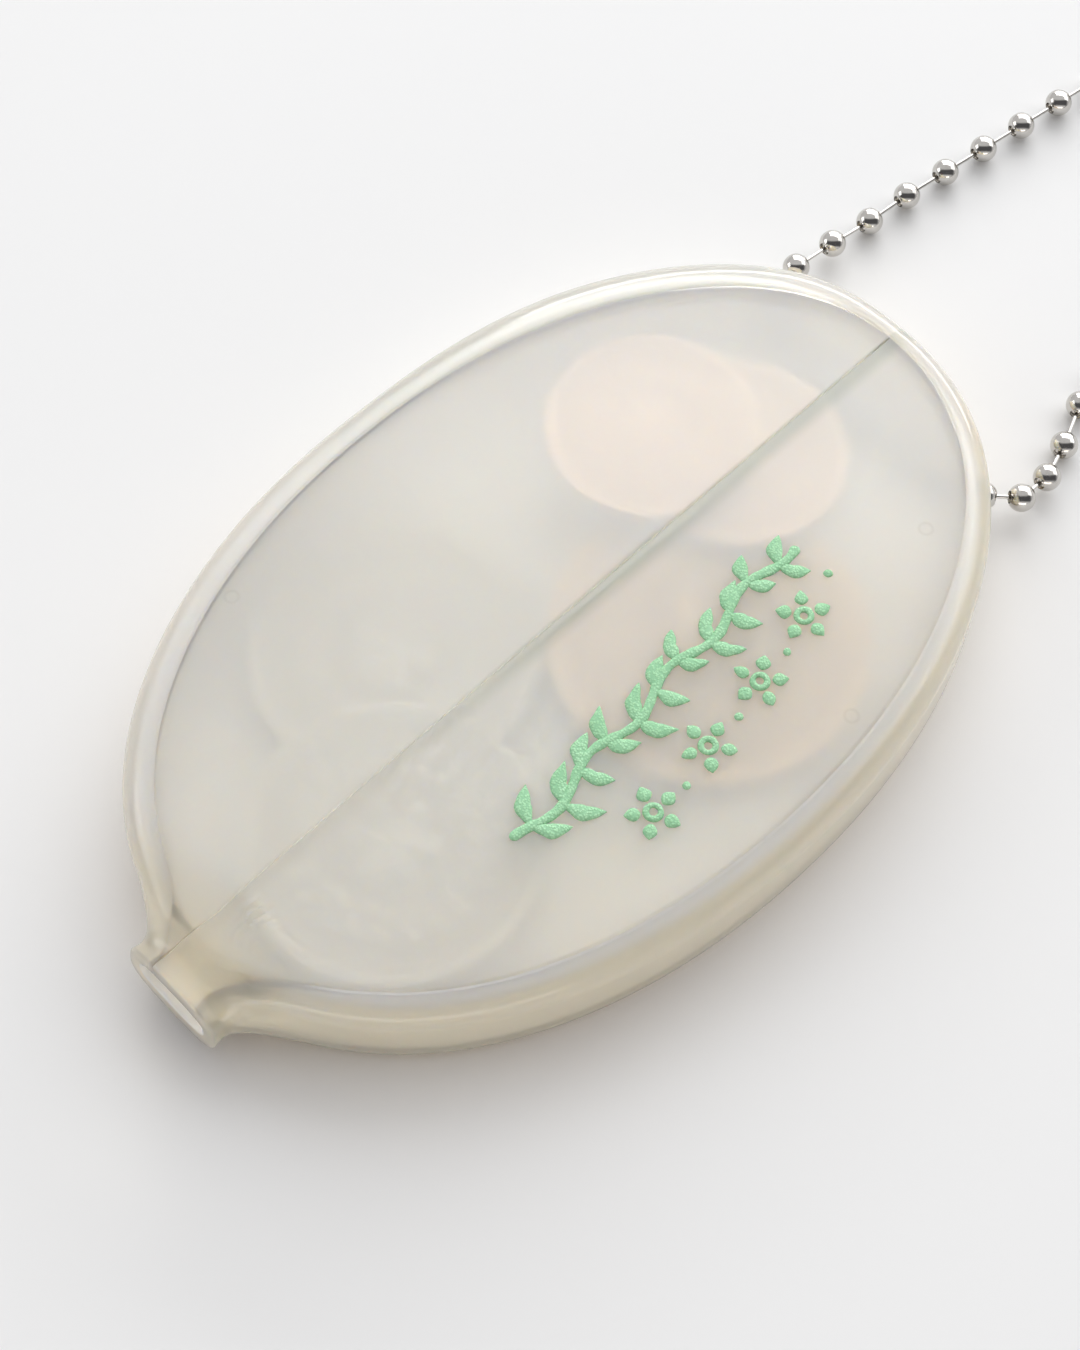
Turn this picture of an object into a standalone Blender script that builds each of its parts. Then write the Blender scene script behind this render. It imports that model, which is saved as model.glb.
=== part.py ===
# Squeeze coin case of soft moulded vinyl on a ball chain, with a few loose coins in it
# +X runs from the open neck to the chain end, +Z is up, and the base rests on Z = 0

import math

import bmesh
import bpy
from mathutils import Matrix, Vector

MM = 0.001
MERGE_DISTANCE = 0.002 * MM

# Case
CASE_LENGTH = 80.0 * MM
CASE_WIDTH = 53.4 * MM
CASE_HEIGHT = 8.8 * MM
OVAL_POWER = 2.1
OVAL_SIDES = 64
WALL = 1.4 * MM
BASE_FILLET = 1.8 * MM
RIM_FILLET = 2.1 * MM
FILLET_STEPS = 3
CUT_OVERRUN = 3.0 * MM

# Lips, the two halves of the top on either side of the cut
LIP_THICKNESS = 1.4 * MM
LIP_GAP = 0.3 * MM
LIP_EDGE_SLOPE = 0.45 * MM
LIP_CROWN = 0.5 * MM
SLIT_WIDTH = 0.3 * MM
LIP_RING_SHARES = (0.3, 0.6, 0.85, 1.0)
LIP_SIDES = 26

# Neck: each row is a place along the neck's length, its width and its height, all as shares
NECK_REACH = 3.4 * MM
NECK_ROOT_DEPTH = 1.5 * MM
NECK_WIDTH = 10.2 * MM
NECK_HEIGHT = 4.8 * MM
NECK_CENTRE_Z = 3.9 * MM
NECK_OFFSET_Y = -1.2 * MM
NECK_WALL = 1.0 * MM
NECK_POWER = 2.6
NECK_SIDES = 24
NECK_SECTION_SHARES = (
    (0.0, 1.40, 1.42),
    (0.25, 1.16, 1.22),
    (0.45, 0.95, 1.06),
    (0.68, 0.87, 0.96),
    (0.86, 0.93, 0.95),
    (1.0, 1.0, 1.0),
)

# Moulding mark at the tip
MARK_WIDTH = 5.0 * MM
MARK_HEIGHT = 3.0 * MM
MARK_PROUD = 0.8 * MM
MARK_DEPTH = 0.9 * MM
MARK_CENTRE_Z = 5.2 * MM
MARK_ROUNDING = 0.35 * MM

# Coins; each place is a share of the room that the pocket leaves for the coin's centre
COIN_GAP = 0.25 * MM
COIN_CHAIN_GAP = 0.4 * MM
COIN_LAYER_SHARE = 0.15
COIN_SIDES = 32
COIN_RIM_WIDTH = 0.9 * MM
COIN_RIM_SLOPE = 0.25 * MM
COIN_RIM_PROUD = 0.12 * MM
LARGE_COIN_DIAMETER = 26.5 * MM
LARGE_COIN_THICKNESS = 1.9 * MM
MIDDLE_COIN_DIAMETER = 24.0 * MM
MIDDLE_COIN_THICKNESS = 1.8 * MM
SMALL_COIN_DIAMETER = 18.0 * MM
SMALL_COIN_THICKNESS = 1.2 * MM
GREY_COIN_LOW_SHARES = (-0.403, 0.693)
GREY_COIN_HIGH_SHARES = (-0.857, -0.293)
PINK_COIN_LOW_SHARES = (1.0, 0.134)
PINK_COIN_HIGH_SHARES = (0.814, 0.534)
BRONZE_COIN_SHARES = (0.0, -0.635)

# Ball chain
BALL_DIAMETER = 2.4 * MM
BALL_WALL = 0.17 * MM
BALL_HOLE = 1.1 * MM
BALL_SIDES = 10
BALL_OUTER_SPANS = 5
BALL_INNER_SPANS = 4
WIRE_DIAMETER = 0.34 * MM
HEAD_OVERLAP = 0.08 * MM
HEAD_THICKNESS = 0.24 * MM
HEAD_CLEARANCE = 0.08 * MM
WIRE_SIDES = 6
STEM_ROOT_SHARE = 0.82
PITCH = 4.55 * MM
CHAIN_LIFT = 0.05 * MM
CHAIN_HOLE_CLEARANCE = 0.9 * MM
CHAIN_HOLE_SIDES = 20
FLOOR_CLEARANCE = 0.25 * MM
DROP_BALLS = 3

# Balls inside the case, as shares of its half length and half width
CHAIN_RUN_SHARE = 0.82
LEFT_THREADED_SHARES = ((CHAIN_RUN_SHARE, 0.043), (0.822, 0.190), (0.852, 0.329), (0.926, 0.440))
RIGHT_THREADED_SHARES = ((CHAIN_RUN_SHARE, -0.103), (CHAIN_RUN_SHARE, -0.250), (0.822, -0.393),
                         (0.876, -0.524))

# Route outside the case: each row is a heading in degrees and a step as a share of the pitch
LEFT_LEAD_SHARES = ((21, 0.97), (-3, 1.0), (-5, 1.0), (-5, 1.0))
RIGHT_LEAD_SHARES = ((-42, 0.73), (0, 0.75), (18, 0.88), (23, 0.98), (9, 1.0))
SWING_HEADING = -8
SWING_STEPS = 5
BIGHT_STEPS = 9
BIGHT_TURN = -18

# Connector, a folded sheet-metal trough over two neighbouring balls
CONNECTOR_SLACK = 0.1 * MM
CONNECTOR_SHEET = 0.3 * MM
CONNECTOR_CLEARANCE = 0.15 * MM
CONNECTOR_HOLD = 0.2 * MM
CONNECTOR_ROUNDING = 0.4 * MM
CONNECTOR_SKIRT_SHARE = 0.5
CONNECTOR_SWING_SHARE = 0.96

HALF_LENGTH = CASE_LENGTH / 2
HALF_WIDTH = CASE_WIDTH / 2
BALL_RADIUS = BALL_DIAMETER / 2
TABLE_BALL_Z = BALL_RADIUS + CHAIN_LIFT
THREADED_BALL_Z = WALL + FLOOR_CLEARANCE + BALL_RADIUS
CHAIN_HOLE = BALL_DIAMETER + CHAIN_HOLE_CLEARANCE
CONNECTOR_PITCH = PITCH + CONNECTOR_SLACK


def clear_scene():
    for old in list(bpy.data.objects):
        bpy.data.objects.remove(old, do_unlink=True)


def make_collection(name):
    collection = bpy.data.collections.new(name)
    bpy.context.scene.collection.children.link(collection)
    return collection


def make_material(name, colour, roughness, metallic=0.0, transmission=0.0):
    material = bpy.data.materials.new(name)
    material.use_nodes = True
    shader = material.node_tree.nodes["Principled BSDF"]
    shader.inputs["Base Color"].default_value = (*colour, 1.0)
    shader.inputs["Roughness"].default_value = roughness
    shader.inputs["Metallic"].default_value = metallic
    shader.inputs["Transmission Weight"].default_value = transmission
    return material


def mesh_from(bm, name):
    bmesh.ops.recalc_face_normals(bm, faces=bm.faces)
    mesh = bpy.data.meshes.new(name)
    bm.to_mesh(mesh)
    bm.free()
    return mesh


def place_object(name, mesh, collection, material=None):
    placed = bpy.data.objects.new(name, mesh)
    collection.objects.link(placed)
    if material:
        mesh.materials.append(material)
    return placed


def mark_as_cutter(cutter):
    cutter.hide_render = True
    cutter.display_type = "WIRE"


def add_boolean(target, tool, operation):
    modifier = target.modifiers.new(tool.name, "BOOLEAN")
    modifier.object = tool
    modifier.operation = operation
    modifier.solver = "EXACT"


def signed_power(value, exponent):
    return math.copysign(abs(value) ** exponent, value)


def oval_point(turn, half_length, half_width, power):
    exponent = 2 / power
    return (
        half_length * signed_power(math.cos(turn), exponent),
        half_width * signed_power(math.sin(turn), exponent),
    )


def case_point(turn, inset):
    return oval_point(turn, HALF_LENGTH - inset, HALF_WIDTH - inset, OVAL_POWER)


def bridge_rings(bm, rings, closed=True):
    for lower, upper in zip(rings, rings[1:]):
        count = len(lower)
        for index in range(count if closed else count - 1):
            following = (index + 1) % count
            bm.faces.new((lower[index], lower[following], upper[following], upper[index]))


def quarter_arc(radius, steps):
    for step in range(steps + 1):
        angle = math.pi / 2 * step / steps
        yield radius * (1 - math.sin(angle)), radius * (1 - math.cos(angle))


def side_profile():
    base = [(inset, height) for inset, height in quarter_arc(BASE_FILLET, FILLET_STEPS)]
    rim = [(inset, CASE_HEIGHT - drop) for inset, drop in quarter_arc(RIM_FILLET, FILLET_STEPS)]
    return base + rim[::-1]


def shell_surface():
    bm = bmesh.new()
    rings = []
    for inset, height in side_profile():
        turns = [2 * math.pi * side / OVAL_SIDES for side in range(OVAL_SIDES)]
        rings.append([bm.verts.new((*case_point(turn, inset), height)) for turn in turns])
    bridge_rings(bm, rings)
    bm.faces.new(rings[0][::-1])
    mesh = bpy.data.meshes.new("shell")
    bm.to_mesh(mesh)
    bm.free()
    return mesh


def neck_solid(name, inset, root_overrun, mouth_overrun):
    bm = bmesh.new()
    root_x = -(HALF_LENGTH - NECK_ROOT_DEPTH)
    mouth_x = -(HALF_LENGTH + NECK_REACH)
    sections = [(root_x + (mouth_x - root_x) * along, width, height)
                for along, width, height in NECK_SECTION_SHARES]
    if root_overrun:
        sections.insert(0, (root_x + root_overrun, *sections[0][1:]))
    if mouth_overrun:
        sections.append((mouth_x - mouth_overrun, *sections[-1][1:]))
    rings = []
    for x, width, height in sections:
        ring = []
        for side in range(NECK_SIDES):
            turn = 2 * math.pi * side / NECK_SIDES
            y, z = oval_point(turn, NECK_WIDTH / 2 * width - inset, NECK_HEIGHT / 2 * height - inset,
                              NECK_POWER)
            ring.append(bm.verts.new((x, NECK_OFFSET_Y + y, NECK_CENTRE_Z + z)))
        rings.append(ring)
    bridge_rings(bm, rings)
    bm.faces.new(rings[0])
    bm.faces.new(rings[-1][::-1])
    return mesh_from(bm, name)


def box_mesh(name, low, high, rounding=0.0):
    bm = bmesh.new()
    bmesh.ops.create_cube(bm, size=1.0)
    size = [top - bottom for bottom, top in zip(low, high)]
    centre = [(top + bottom) / 2 for bottom, top in zip(low, high)]
    bmesh.ops.scale(bm, vec=size, verts=bm.verts)
    bmesh.ops.translate(bm, vec=centre, verts=bm.verts)
    if rounding:
        bmesh.ops.bevel(bm, geom=bm.edges[:], offset=rounding, segments=2, profile=0.5, affect="EDGES")
    return mesh_from(bm, name)


def make_shell(parts, cutters, material, hole_places):
    shell = place_object("shell", shell_surface(), parts, material)
    thicken = shell.modifiers.new("wall", "SOLIDIFY")
    thicken.thickness = WALL
    thicken.offset = -1.0
    thicken.use_even_offset = True

    neck = place_object("neck_body", neck_solid("neck_body", 0.0, 0.0, 0.0), cutters)
    bore = place_object("neck_bore", neck_solid("neck_bore", NECK_WALL, CUT_OVERRUN, CUT_OVERRUN), cutters)
    slit = place_object("neck_slit", box_mesh(
        "neck_slit",
        (-(HALF_LENGTH + NECK_REACH + CUT_OVERRUN), -SLIT_WIDTH / 2, NECK_CENTRE_Z),
        (-(HALF_LENGTH - RIM_FILLET - CUT_OVERRUN), SLIT_WIDTH / 2, CASE_HEIGHT + CUT_OVERRUN)), cutters)
    mark = place_object("moulding_mark", box_mesh(
        "moulding_mark",
        (HALF_LENGTH - MARK_DEPTH, -MARK_WIDTH / 2, MARK_CENTRE_Z - MARK_HEIGHT / 2),
        (HALF_LENGTH + MARK_PROUD, MARK_WIDTH / 2, MARK_CENTRE_Z + MARK_HEIGHT / 2),
        MARK_ROUNDING), cutters)
    tools = [(neck, "UNION"), (mark, "UNION"), (bore, "DIFFERENCE"), (slit, "DIFFERENCE")]
    for side, (centre, direction) in hole_places.items():
        hole = place_object("chain_hole_" + side, hole_mesh(centre, direction), cutters)
        tools.append((hole, "DIFFERENCE"))
    for tool, operation in tools:
        mark_as_cutter(tool)
        add_boolean(shell, tool, operation)
    return shell


def hole_mesh(centre, direction):
    bm = bmesh.new()
    bmesh.ops.create_cone(bm, cap_ends=True, segments=CHAIN_HOLE_SIDES, radius1=CHAIN_HOLE / 2,
                          radius2=CHAIN_HOLE / 2, depth=2 * CUT_OVERRUN)
    turn = Vector((0, 0, 1)).rotation_difference(direction).to_matrix().to_4x4()
    bmesh.ops.transform(bm, matrix=Matrix.Translation(centre) @ turn, verts=bm.verts)
    return mesh_from(bm, "chain_hole")


def lip_sheet(bm, inset, height):
    # A half-oval sheet beside the cut; returns its edge loop
    half_slit = SLIT_WIDTH / 2
    length = HALF_LENGTH - inset
    width = HALF_WIDTH - inset - half_slit
    centre = bm.verts.new((0, half_slit, height + LIP_CROWN))
    rings = []
    for share in LIP_RING_SHARES:
        rise = LIP_CROWN * (1 - share ** 2)
        ring = []
        for side in range(LIP_SIDES + 1):
            x, y = oval_point(math.pi * side / LIP_SIDES, length * share, width * share, OVAL_POWER)
            ring.append(bm.verts.new((x, half_slit + abs(y), height + rise)))
        rings.append(ring)
    for first, second in zip(rings[0], rings[0][1:]):
        bm.faces.new((centre, first, second))
    bridge_rings(bm, rings, closed=False)
    near_end = [ring[-1] for ring in reversed(rings[:-1])]
    far_end = [ring[0] for ring in rings[:-1]]
    return rings[-1] + near_end + [centre] + far_end


def make_lip(name, parts, material, mirrored):
    bm = bmesh.new()
    top = lip_sheet(bm, RIM_FILLET + LIP_GAP, CASE_HEIGHT)
    underside = lip_sheet(bm, RIM_FILLET + LIP_GAP + LIP_EDGE_SLOPE, CASE_HEIGHT - LIP_THICKNESS)
    bridge_rings(bm, [underside, top])
    hinge = Vector((0, HALF_WIDTH - RIM_FILLET - LIP_GAP, CASE_HEIGHT))
    if mirrored:
        hinge.y = -hinge.y
        bmesh.ops.scale(bm, vec=(1, -1, 1), verts=bm.verts)
    bmesh.ops.translate(bm, vec=-hinge, verts=bm.verts)
    lip = place_object(name, mesh_from(bm, name), parts, material)
    lip.location = hinge


def turned_mesh(name, profile, steps, closed):
    bm = bmesh.new()
    points = [bm.verts.new((radius, 0, height)) for radius, height in profile]
    pairs = list(zip(points, points[1:]))
    if closed:
        pairs.append((points[-1], points[0]))
    for first, second in pairs:
        bm.edges.new((first, second))
    outline = bpy.data.meshes.new(name + "_profile")
    bm.to_mesh(outline)
    bm.free()
    turned = bpy.data.objects.new(name, outline)
    bpy.context.scene.collection.objects.link(turned)
    screw = turned.modifiers.new("turn", "SCREW")
    screw.steps = steps
    screw.render_steps = steps
    screw.use_merge_vertices = True
    screw.merge_threshold = MERGE_DISTANCE
    screw.use_normal_calculate = True
    bpy.context.view_layer.update()
    evaluated = turned.evaluated_get(bpy.context.evaluated_depsgraph_get())
    mesh = bpy.data.meshes.new_from_object(evaluated)
    bpy.data.objects.remove(turned, do_unlink=True)
    bm = bmesh.new()
    bm.from_mesh(mesh)
    return mesh_from(bm, name)


def coin_mesh(name, diameter, thickness):
    radius = diameter / 2
    upper = [
        (0, thickness / 2 - COIN_RIM_PROUD),
        (radius - COIN_RIM_WIDTH - COIN_RIM_SLOPE, thickness / 2 - COIN_RIM_PROUD),
        (radius - COIN_RIM_WIDTH, thickness / 2),
        (radius, thickness / 2),
    ]
    lower = [(across, -height) for across, height in reversed(upper)]
    return turned_mesh(name, upper + lower, COIN_SIDES, False)


def pocket_place(shares, diameter):
    radius = diameter / 2
    to_neck = HALF_LENGTH - WALL - radius
    to_chain = HALF_LENGTH * CHAIN_RUN_SHARE - BALL_RADIUS - COIN_CHAIN_GAP - radius
    to_side = HALF_WIDTH - WALL - radius
    along = to_chain if shares[0] > 0 else to_neck
    return Vector((along * shares[0], to_side * shares[1], 0))


def coin_places():
    low_layer = max(LARGE_COIN_THICKNESS, MIDDLE_COIN_THICKNESS)
    stack = low_layer + 2 * SMALL_COIN_THICKNESS
    gap = COIN_LAYER_SHARE * (CASE_HEIGHT - WALL - LIP_THICKNESS - stack)
    low = WALL + gap
    middle = low + low_layer + gap
    high = middle + SMALL_COIN_THICKNESS + gap
    large = (LARGE_COIN_DIAMETER, LARGE_COIN_THICKNESS)
    medium = (MIDDLE_COIN_DIAMETER, MIDDLE_COIN_THICKNESS)
    small = (SMALL_COIN_DIAMETER, SMALL_COIN_THICKNESS)
    grey_low = pocket_place(GREY_COIN_LOW_SHARES, MIDDLE_COIN_DIAMETER)
    grey_high = pocket_place(GREY_COIN_HIGH_SHARES, MIDDLE_COIN_DIAMETER)
    pink_low = pocket_place(PINK_COIN_LOW_SHARES, SMALL_COIN_DIAMETER)
    pink_high = pocket_place(PINK_COIN_HIGH_SHARES, SMALL_COIN_DIAMETER)
    # The bronze coin lies against the low grey one
    reach = (LARGE_COIN_DIAMETER + MIDDLE_COIN_DIAMETER) / 2 + COIN_GAP
    bronze = pocket_place(BRONZE_COIN_SHARES, LARGE_COIN_DIAMETER)
    bronze.x = grey_low.x + math.sqrt(reach ** 2 - (bronze.y - grey_low.y) ** 2)
    return {
        "coin_bronze": (large, bronze, low, "bronze"),
        "coin_grey_low": (medium, grey_low, low, "cupronickel"),
        "coin_grey_high": (medium, grey_high, middle, "cupronickel"),
        "coin_pink_low": (small, pink_low, middle, "pink_copper"),
        "coin_pink_high": (small, pink_high, high, "pink_copper"),
    }


def make_coins(parts, materials):
    for name, (sizes, place, bottom, finish) in coin_places().items():
        diameter, thickness = sizes
        coin = place_object(name, coin_mesh(name, diameter, thickness), parts, materials[finish])
        coin.location = place + Vector((0, 0, bottom + thickness / 2))


def walk(start, rows):
    points = []
    place = start.copy()
    for heading, share in rows:
        turn = math.radians(heading)
        place = place + PITCH * share * Vector((math.cos(turn), math.sin(turn), 0))
        points.append(place)
    return points


def lower_to_table(points, start_z):
    drop = (start_z - TABLE_BALL_Z) / DROP_BALLS
    for index, point in enumerate(points):
        point.z = max(TABLE_BALL_Z, start_z - drop * (index + 1))


def chain_route():
    side_points = {}
    for side, threaded_shares, lead_rows in (
            ("left", LEFT_THREADED_SHARES, LEFT_LEAD_SHARES),
            ("right", RIGHT_THREADED_SHARES, RIGHT_LEAD_SHARES)):
        threaded = [Vector((HALF_LENGTH * along, HALF_WIDTH * across, THREADED_BALL_Z))
                    for along, across in threaded_shares]
        lead = walk(threaded[-1], lead_rows)
        lower_to_table(lead, THREADED_BALL_Z)
        swing = walk(lead[-1], ((SWING_HEADING, 1.0),) * SWING_STEPS)
        side_points[side] = {"threaded": threaded, "lead": lead, "swing": swing}

    heading = math.radians(SWING_HEADING)
    forward = Vector((math.cos(heading), math.sin(heading), 0))
    first = side_points["left"]["swing"][-1] + PITCH * forward
    last = side_points["right"]["swing"][-1] + CONNECTOR_PITCH * forward
    side_points["bight"] = [first] + turn_between(first, last) + [last]
    return side_points


def turn_between(first, last):
    # A run of equal steps with an equal turn at each ball, from the first ball to the last
    chord = last - first
    turn = math.radians(BIGHT_TURN)
    step = chord.length * math.sin(abs(turn) / 2) / math.sin(BIGHT_STEPS * abs(turn) / 2)
    heading = math.atan2(chord.y, chord.x) - (BIGHT_STEPS - 1) * turn / 2
    points = []
    place = first
    for _ in range(BIGHT_STEPS - 1):
        place = place + step * Vector((math.cos(heading), math.sin(heading), 0))
        points.append(place)
        heading += turn
    return points


def sphere_arc(radius, edge, end, spans):
    for span in range(spans + 1):
        angle = edge + (end - edge) * span / spans
        yield radius * math.sin(angle), radius * math.cos(angle)


def ball_mesh(name, holes):
    # A hollow ball whose first hole faces +Z; the second hole, if it has one, faces -Z
    inner_radius = BALL_RADIUS - BALL_WALL
    edges = [math.asin(BALL_HOLE / 2 / radius) for radius in (BALL_RADIUS, inner_radius)]
    ends = [math.pi - edge if holes == 2 else math.pi for edge in edges]
    outer = list(sphere_arc(BALL_RADIUS, edges[0], ends[0], BALL_OUTER_SPANS))
    inner = list(sphere_arc(inner_radius, edges[1], ends[1], BALL_INNER_SPANS))
    if holes == 2:
        return turned_mesh(name, outer + inner[::-1], BALL_SIDES, True)
    outer[-1] = (0, outer[-1][1])
    inner[-1] = (0, inner[-1][1])
    return turned_mesh(name, inner[::-1] + outer, BALL_SIDES, False)


def stem_mesh(name, reach):
    # The wire link along +Z: it grows from its own ball's wall and ends in a head inside the next ball
    head = BALL_HOLE / 2 + HEAD_OVERLAP
    wire = WIRE_DIAMETER / 2
    root = BALL_RADIUS - BALL_WALL * STEM_ROOT_SHARE
    # The flat facets of the hollow come this much nearer to its centre than its corners
    flatness = math.cos(math.pi / BALL_SIDES) * math.cos(math.pi / BALL_INNER_SPANS / 2)
    chamber = (BALL_RADIUS - BALL_WALL) * flatness - HEAD_CLEARANCE
    shoulder = reach - math.sqrt(chamber ** 2 - head ** 2)
    tip = shoulder + HEAD_THICKNESS
    profile = [(0, tip), (head, tip), (head, shoulder), (wire, shoulder), (wire, root), (0, root)]
    return turned_mesh(name, profile, WIRE_SIDES, False)


def turned_along(place, direction):
    turn = Vector((0, 0, 1)).rotation_difference(direction)
    return Matrix.Translation(place) @ turn.to_matrix().to_4x4()


def chain_stations(route):
    # Each ball's name and place, its neighbour towards the case and its neighbour away from it
    for side in ("right", "left"):
        stations = []
        for stretch in ("threaded", "lead", "swing"):
            for number, place in enumerate(route[side][stretch], start=1):
                stations.append(("_".join(("chain", side, stretch, str(number))), place))
        if side == "left":
            for number, place in enumerate(route["bight"], start=1):
                stations.append(("chain_bight_" + str(number), place))
            before = route["right"]["threaded"][0]
            last = route["right"]["swing"][-1]
        else:
            before = None
            last = route["bight"][-1]
        following = [place for _, place in stations[1:]] + [last]
        for (name, place), after in zip(stations, following):
            yield name, place, before, after
            before = place


def make_chain(parts, cutters, material, route):
    for name, place, before, after in chain_stations(route):
        mesh = ball_mesh(name, 1 if before else 2)
        ball = place_object(name, mesh, parts, material)
        ball.matrix_world = turned_along(place, after - place)
        if before:
            towards = before - place
            stem = place_object(name + "_stem", stem_mesh(name + "_stem", towards.length), cutters)
            stem.matrix_world = turned_along(place, towards)
            mark_as_cutter(stem)
            add_boolean(ball, stem, "UNION")


def make_connector(parts, cutters, material, route):
    held_ball = route["right"]["swing"][-1]
    own_ball = route["bight"][-1]
    reach = BALL_RADIUS + CONNECTOR_CLEARANCE
    half = CONNECTOR_PITCH / 2 + reach
    sheet = CONNECTOR_SHEET
    slot = BALL_RADIUS - CONNECTOR_HOLD / 2
    matrix = Matrix.Translation((held_ball + own_ball) / 2) @ Matrix.Rotation(
        math.atan2(*(own_ball - held_ball).yx), 4, "Z")
    outer = box_mesh("chain_connector", (-half - sheet, -reach - sheet, -BALL_RADIUS * CONNECTOR_SKIRT_SHARE),
                     (half + sheet, reach + sheet, reach + sheet), CONNECTOR_ROUNDING)
    outer.transform(matrix)
    connector = place_object("chain_connector", outer, parts, material)
    boxes = {
        "connector_hollow": ((-half, -reach, -CUT_OVERRUN), (half, reach, reach)),
        "connector_held_slot": ((-half - CUT_OVERRUN, -slot, -CUT_OVERRUN),
                                (0, slot, WIRE_DIAMETER)),
        "connector_own_slot": ((0, -slot, -CUT_OVERRUN),
                               (half + CUT_OVERRUN, slot, BALL_RADIUS * CONNECTOR_SWING_SHARE)),
    }
    for name, (low, high) in boxes.items():
        mesh = box_mesh(name, low, high)
        mesh.transform(matrix)
        cutter = place_object(name, mesh, cutters)
        mark_as_cutter(cutter)
        add_boolean(connector, cutter, "DIFFERENCE")


def chain_hole_places(route):
    places = {}
    for side in ("left", "right"):
        before, centre = route[side]["threaded"][-2:]
        places[side] = (centre, centre - before)
    return places


def shade_parts(parts):
    for part in parts.objects:
        part.data.shade_smooth()
        part.data.set_sharp_from_angle(angle=math.radians(40))


def main():
    clear_scene()
    parts = make_collection("coin_case")
    cutters = make_collection("cutters")
    vinyl = make_material("milky_vinyl", (0.86, 0.85, 0.79), 0.35, transmission=0.6)
    steel = make_material("nickelled_steel", (0.78, 0.76, 0.73), 0.18, metallic=1.0)
    coin_materials = {
        "cupronickel": make_material("cupronickel", (0.62, 0.62, 0.62), 0.3, metallic=1.0),
        "pink_copper": make_material("pink_copper", (0.78, 0.52, 0.42), 0.3, metallic=1.0),
        "bronze": make_material("bronze", (0.70, 0.50, 0.32), 0.35, metallic=1.0),
    }
    route = chain_route()
    make_shell(parts, cutters, vinyl, chain_hole_places(route))
    make_lip("left_lip", parts, vinyl, False)
    make_lip("right_lip", parts, vinyl, True)
    make_coins(parts, coin_materials)
    make_chain(parts, cutters, steel, route)
    make_connector(parts, cutters, steel, route)
    shade_parts(parts)


main()
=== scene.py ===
# Dressed model of a squeeze coin case: milky vinyl skin, raised print, coins, ball chain and connector
import math

import bmesh
import bpy
import numpy as np
from mathutils import Matrix, Vector


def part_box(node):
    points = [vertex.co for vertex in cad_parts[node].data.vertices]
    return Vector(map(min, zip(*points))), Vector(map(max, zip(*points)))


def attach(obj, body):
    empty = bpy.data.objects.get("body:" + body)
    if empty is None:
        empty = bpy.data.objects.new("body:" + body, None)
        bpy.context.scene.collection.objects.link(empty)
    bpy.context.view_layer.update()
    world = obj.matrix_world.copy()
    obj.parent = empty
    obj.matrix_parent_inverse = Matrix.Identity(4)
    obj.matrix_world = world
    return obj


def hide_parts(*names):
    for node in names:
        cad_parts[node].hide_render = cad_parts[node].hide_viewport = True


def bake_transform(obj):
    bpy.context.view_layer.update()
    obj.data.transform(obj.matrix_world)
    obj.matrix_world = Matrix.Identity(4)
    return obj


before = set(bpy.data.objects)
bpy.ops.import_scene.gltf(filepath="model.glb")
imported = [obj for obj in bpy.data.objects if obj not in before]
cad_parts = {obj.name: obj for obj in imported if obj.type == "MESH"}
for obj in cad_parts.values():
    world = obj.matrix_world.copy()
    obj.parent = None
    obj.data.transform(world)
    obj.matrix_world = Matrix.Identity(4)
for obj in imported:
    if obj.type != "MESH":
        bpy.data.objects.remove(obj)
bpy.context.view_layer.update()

MM = 0.001

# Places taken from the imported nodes
shell_low, shell_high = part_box("shell")
HALF_WIDTH = shell_high.y
CASE_HEIGHT = shell_high.z
MOUTH_X = shell_low.x
MARK_PROUD = 0.8 * MM
HALF_LENGTH = shell_high.x - MARK_PROUD

# Case form
OVAL_POWER = 2.1
WALL = 1.4 * MM
BASE_FILLET = 1.8 * MM
RIM_FILLET = 2.1 * MM
LEFT_RIM_EXTRA = 0.8 * MM
INNER_FILLET = 0.7 * MM
CREASE_MARGIN = 0.26 * MM
CREASE_INSET = RIM_FILLET + CREASE_MARGIN
CREASE_GROOVE = 0.06 * MM
CREASE_GROOVE_WIDTH = 0.26 * MM
CREASE_FADE = 4.0 * MM
CREASE_ROW_DISTANCES = np.array((0.0, 0.09, 0.18)) * MM
CREASE_RUN = 0.4 * MM
CREASE_ROW_SHARES = (0.0, 0.24, 0.5, 0.74, 1.0)
LIP_CROWN = 0.26 * MM
CUT_GAP = 0.04 * MM
CUT_ROUNDING = 0.12 * MM
LEFT_EDGE_RISE = 0.07 * MM
LEFT_EDGE_REACH = 0.8 * MM
LEFT_EDGE_START_RUN = 8 * MM
CUT_SLANT = 0.55 * MM
CUT_SLANT_START = -38 * MM
CUT_SLANT_RUN = 50 * MM
CUT_SLANT_NECK_SHARE = 0.25
CUT_SLANT_END_RUN = 9 * MM
CUT_LEAN = 1.0 * MM
CUT_LEAN_START = -36.0 * MM
CUT_CLOSING_RUN = 0.5 * MM

# The far side stands out near the chain; its turns are how soon it starts from the tip and from the side
FAR_BULGE = 0.75 * MM
FAR_BULGE_START = 0.91
FAR_BULGE_TIP_TURN = 0.4
FAR_BULGE_SIDE_TURN = 0.6

# Flow marks left by the moulding beside the neck
FLOW_CENTRE = np.array((-34.8, -2.1)) * MM
FLOW_HEADING = math.radians(188)
FLOW_LENGTH = 1.9 * MM
FLOW_BREADTH = 1.5 * MM
FLOW_PITCH = 0.85 * MM
FLOW_HEIGHT = 0.17 * MM
FLOW_CUT_RUN = 0.6 * MM
FLOW_WAVERS = ((0.25, 0.7 * MM, 0), (0.15, 0.31 * MM, 1))

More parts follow.
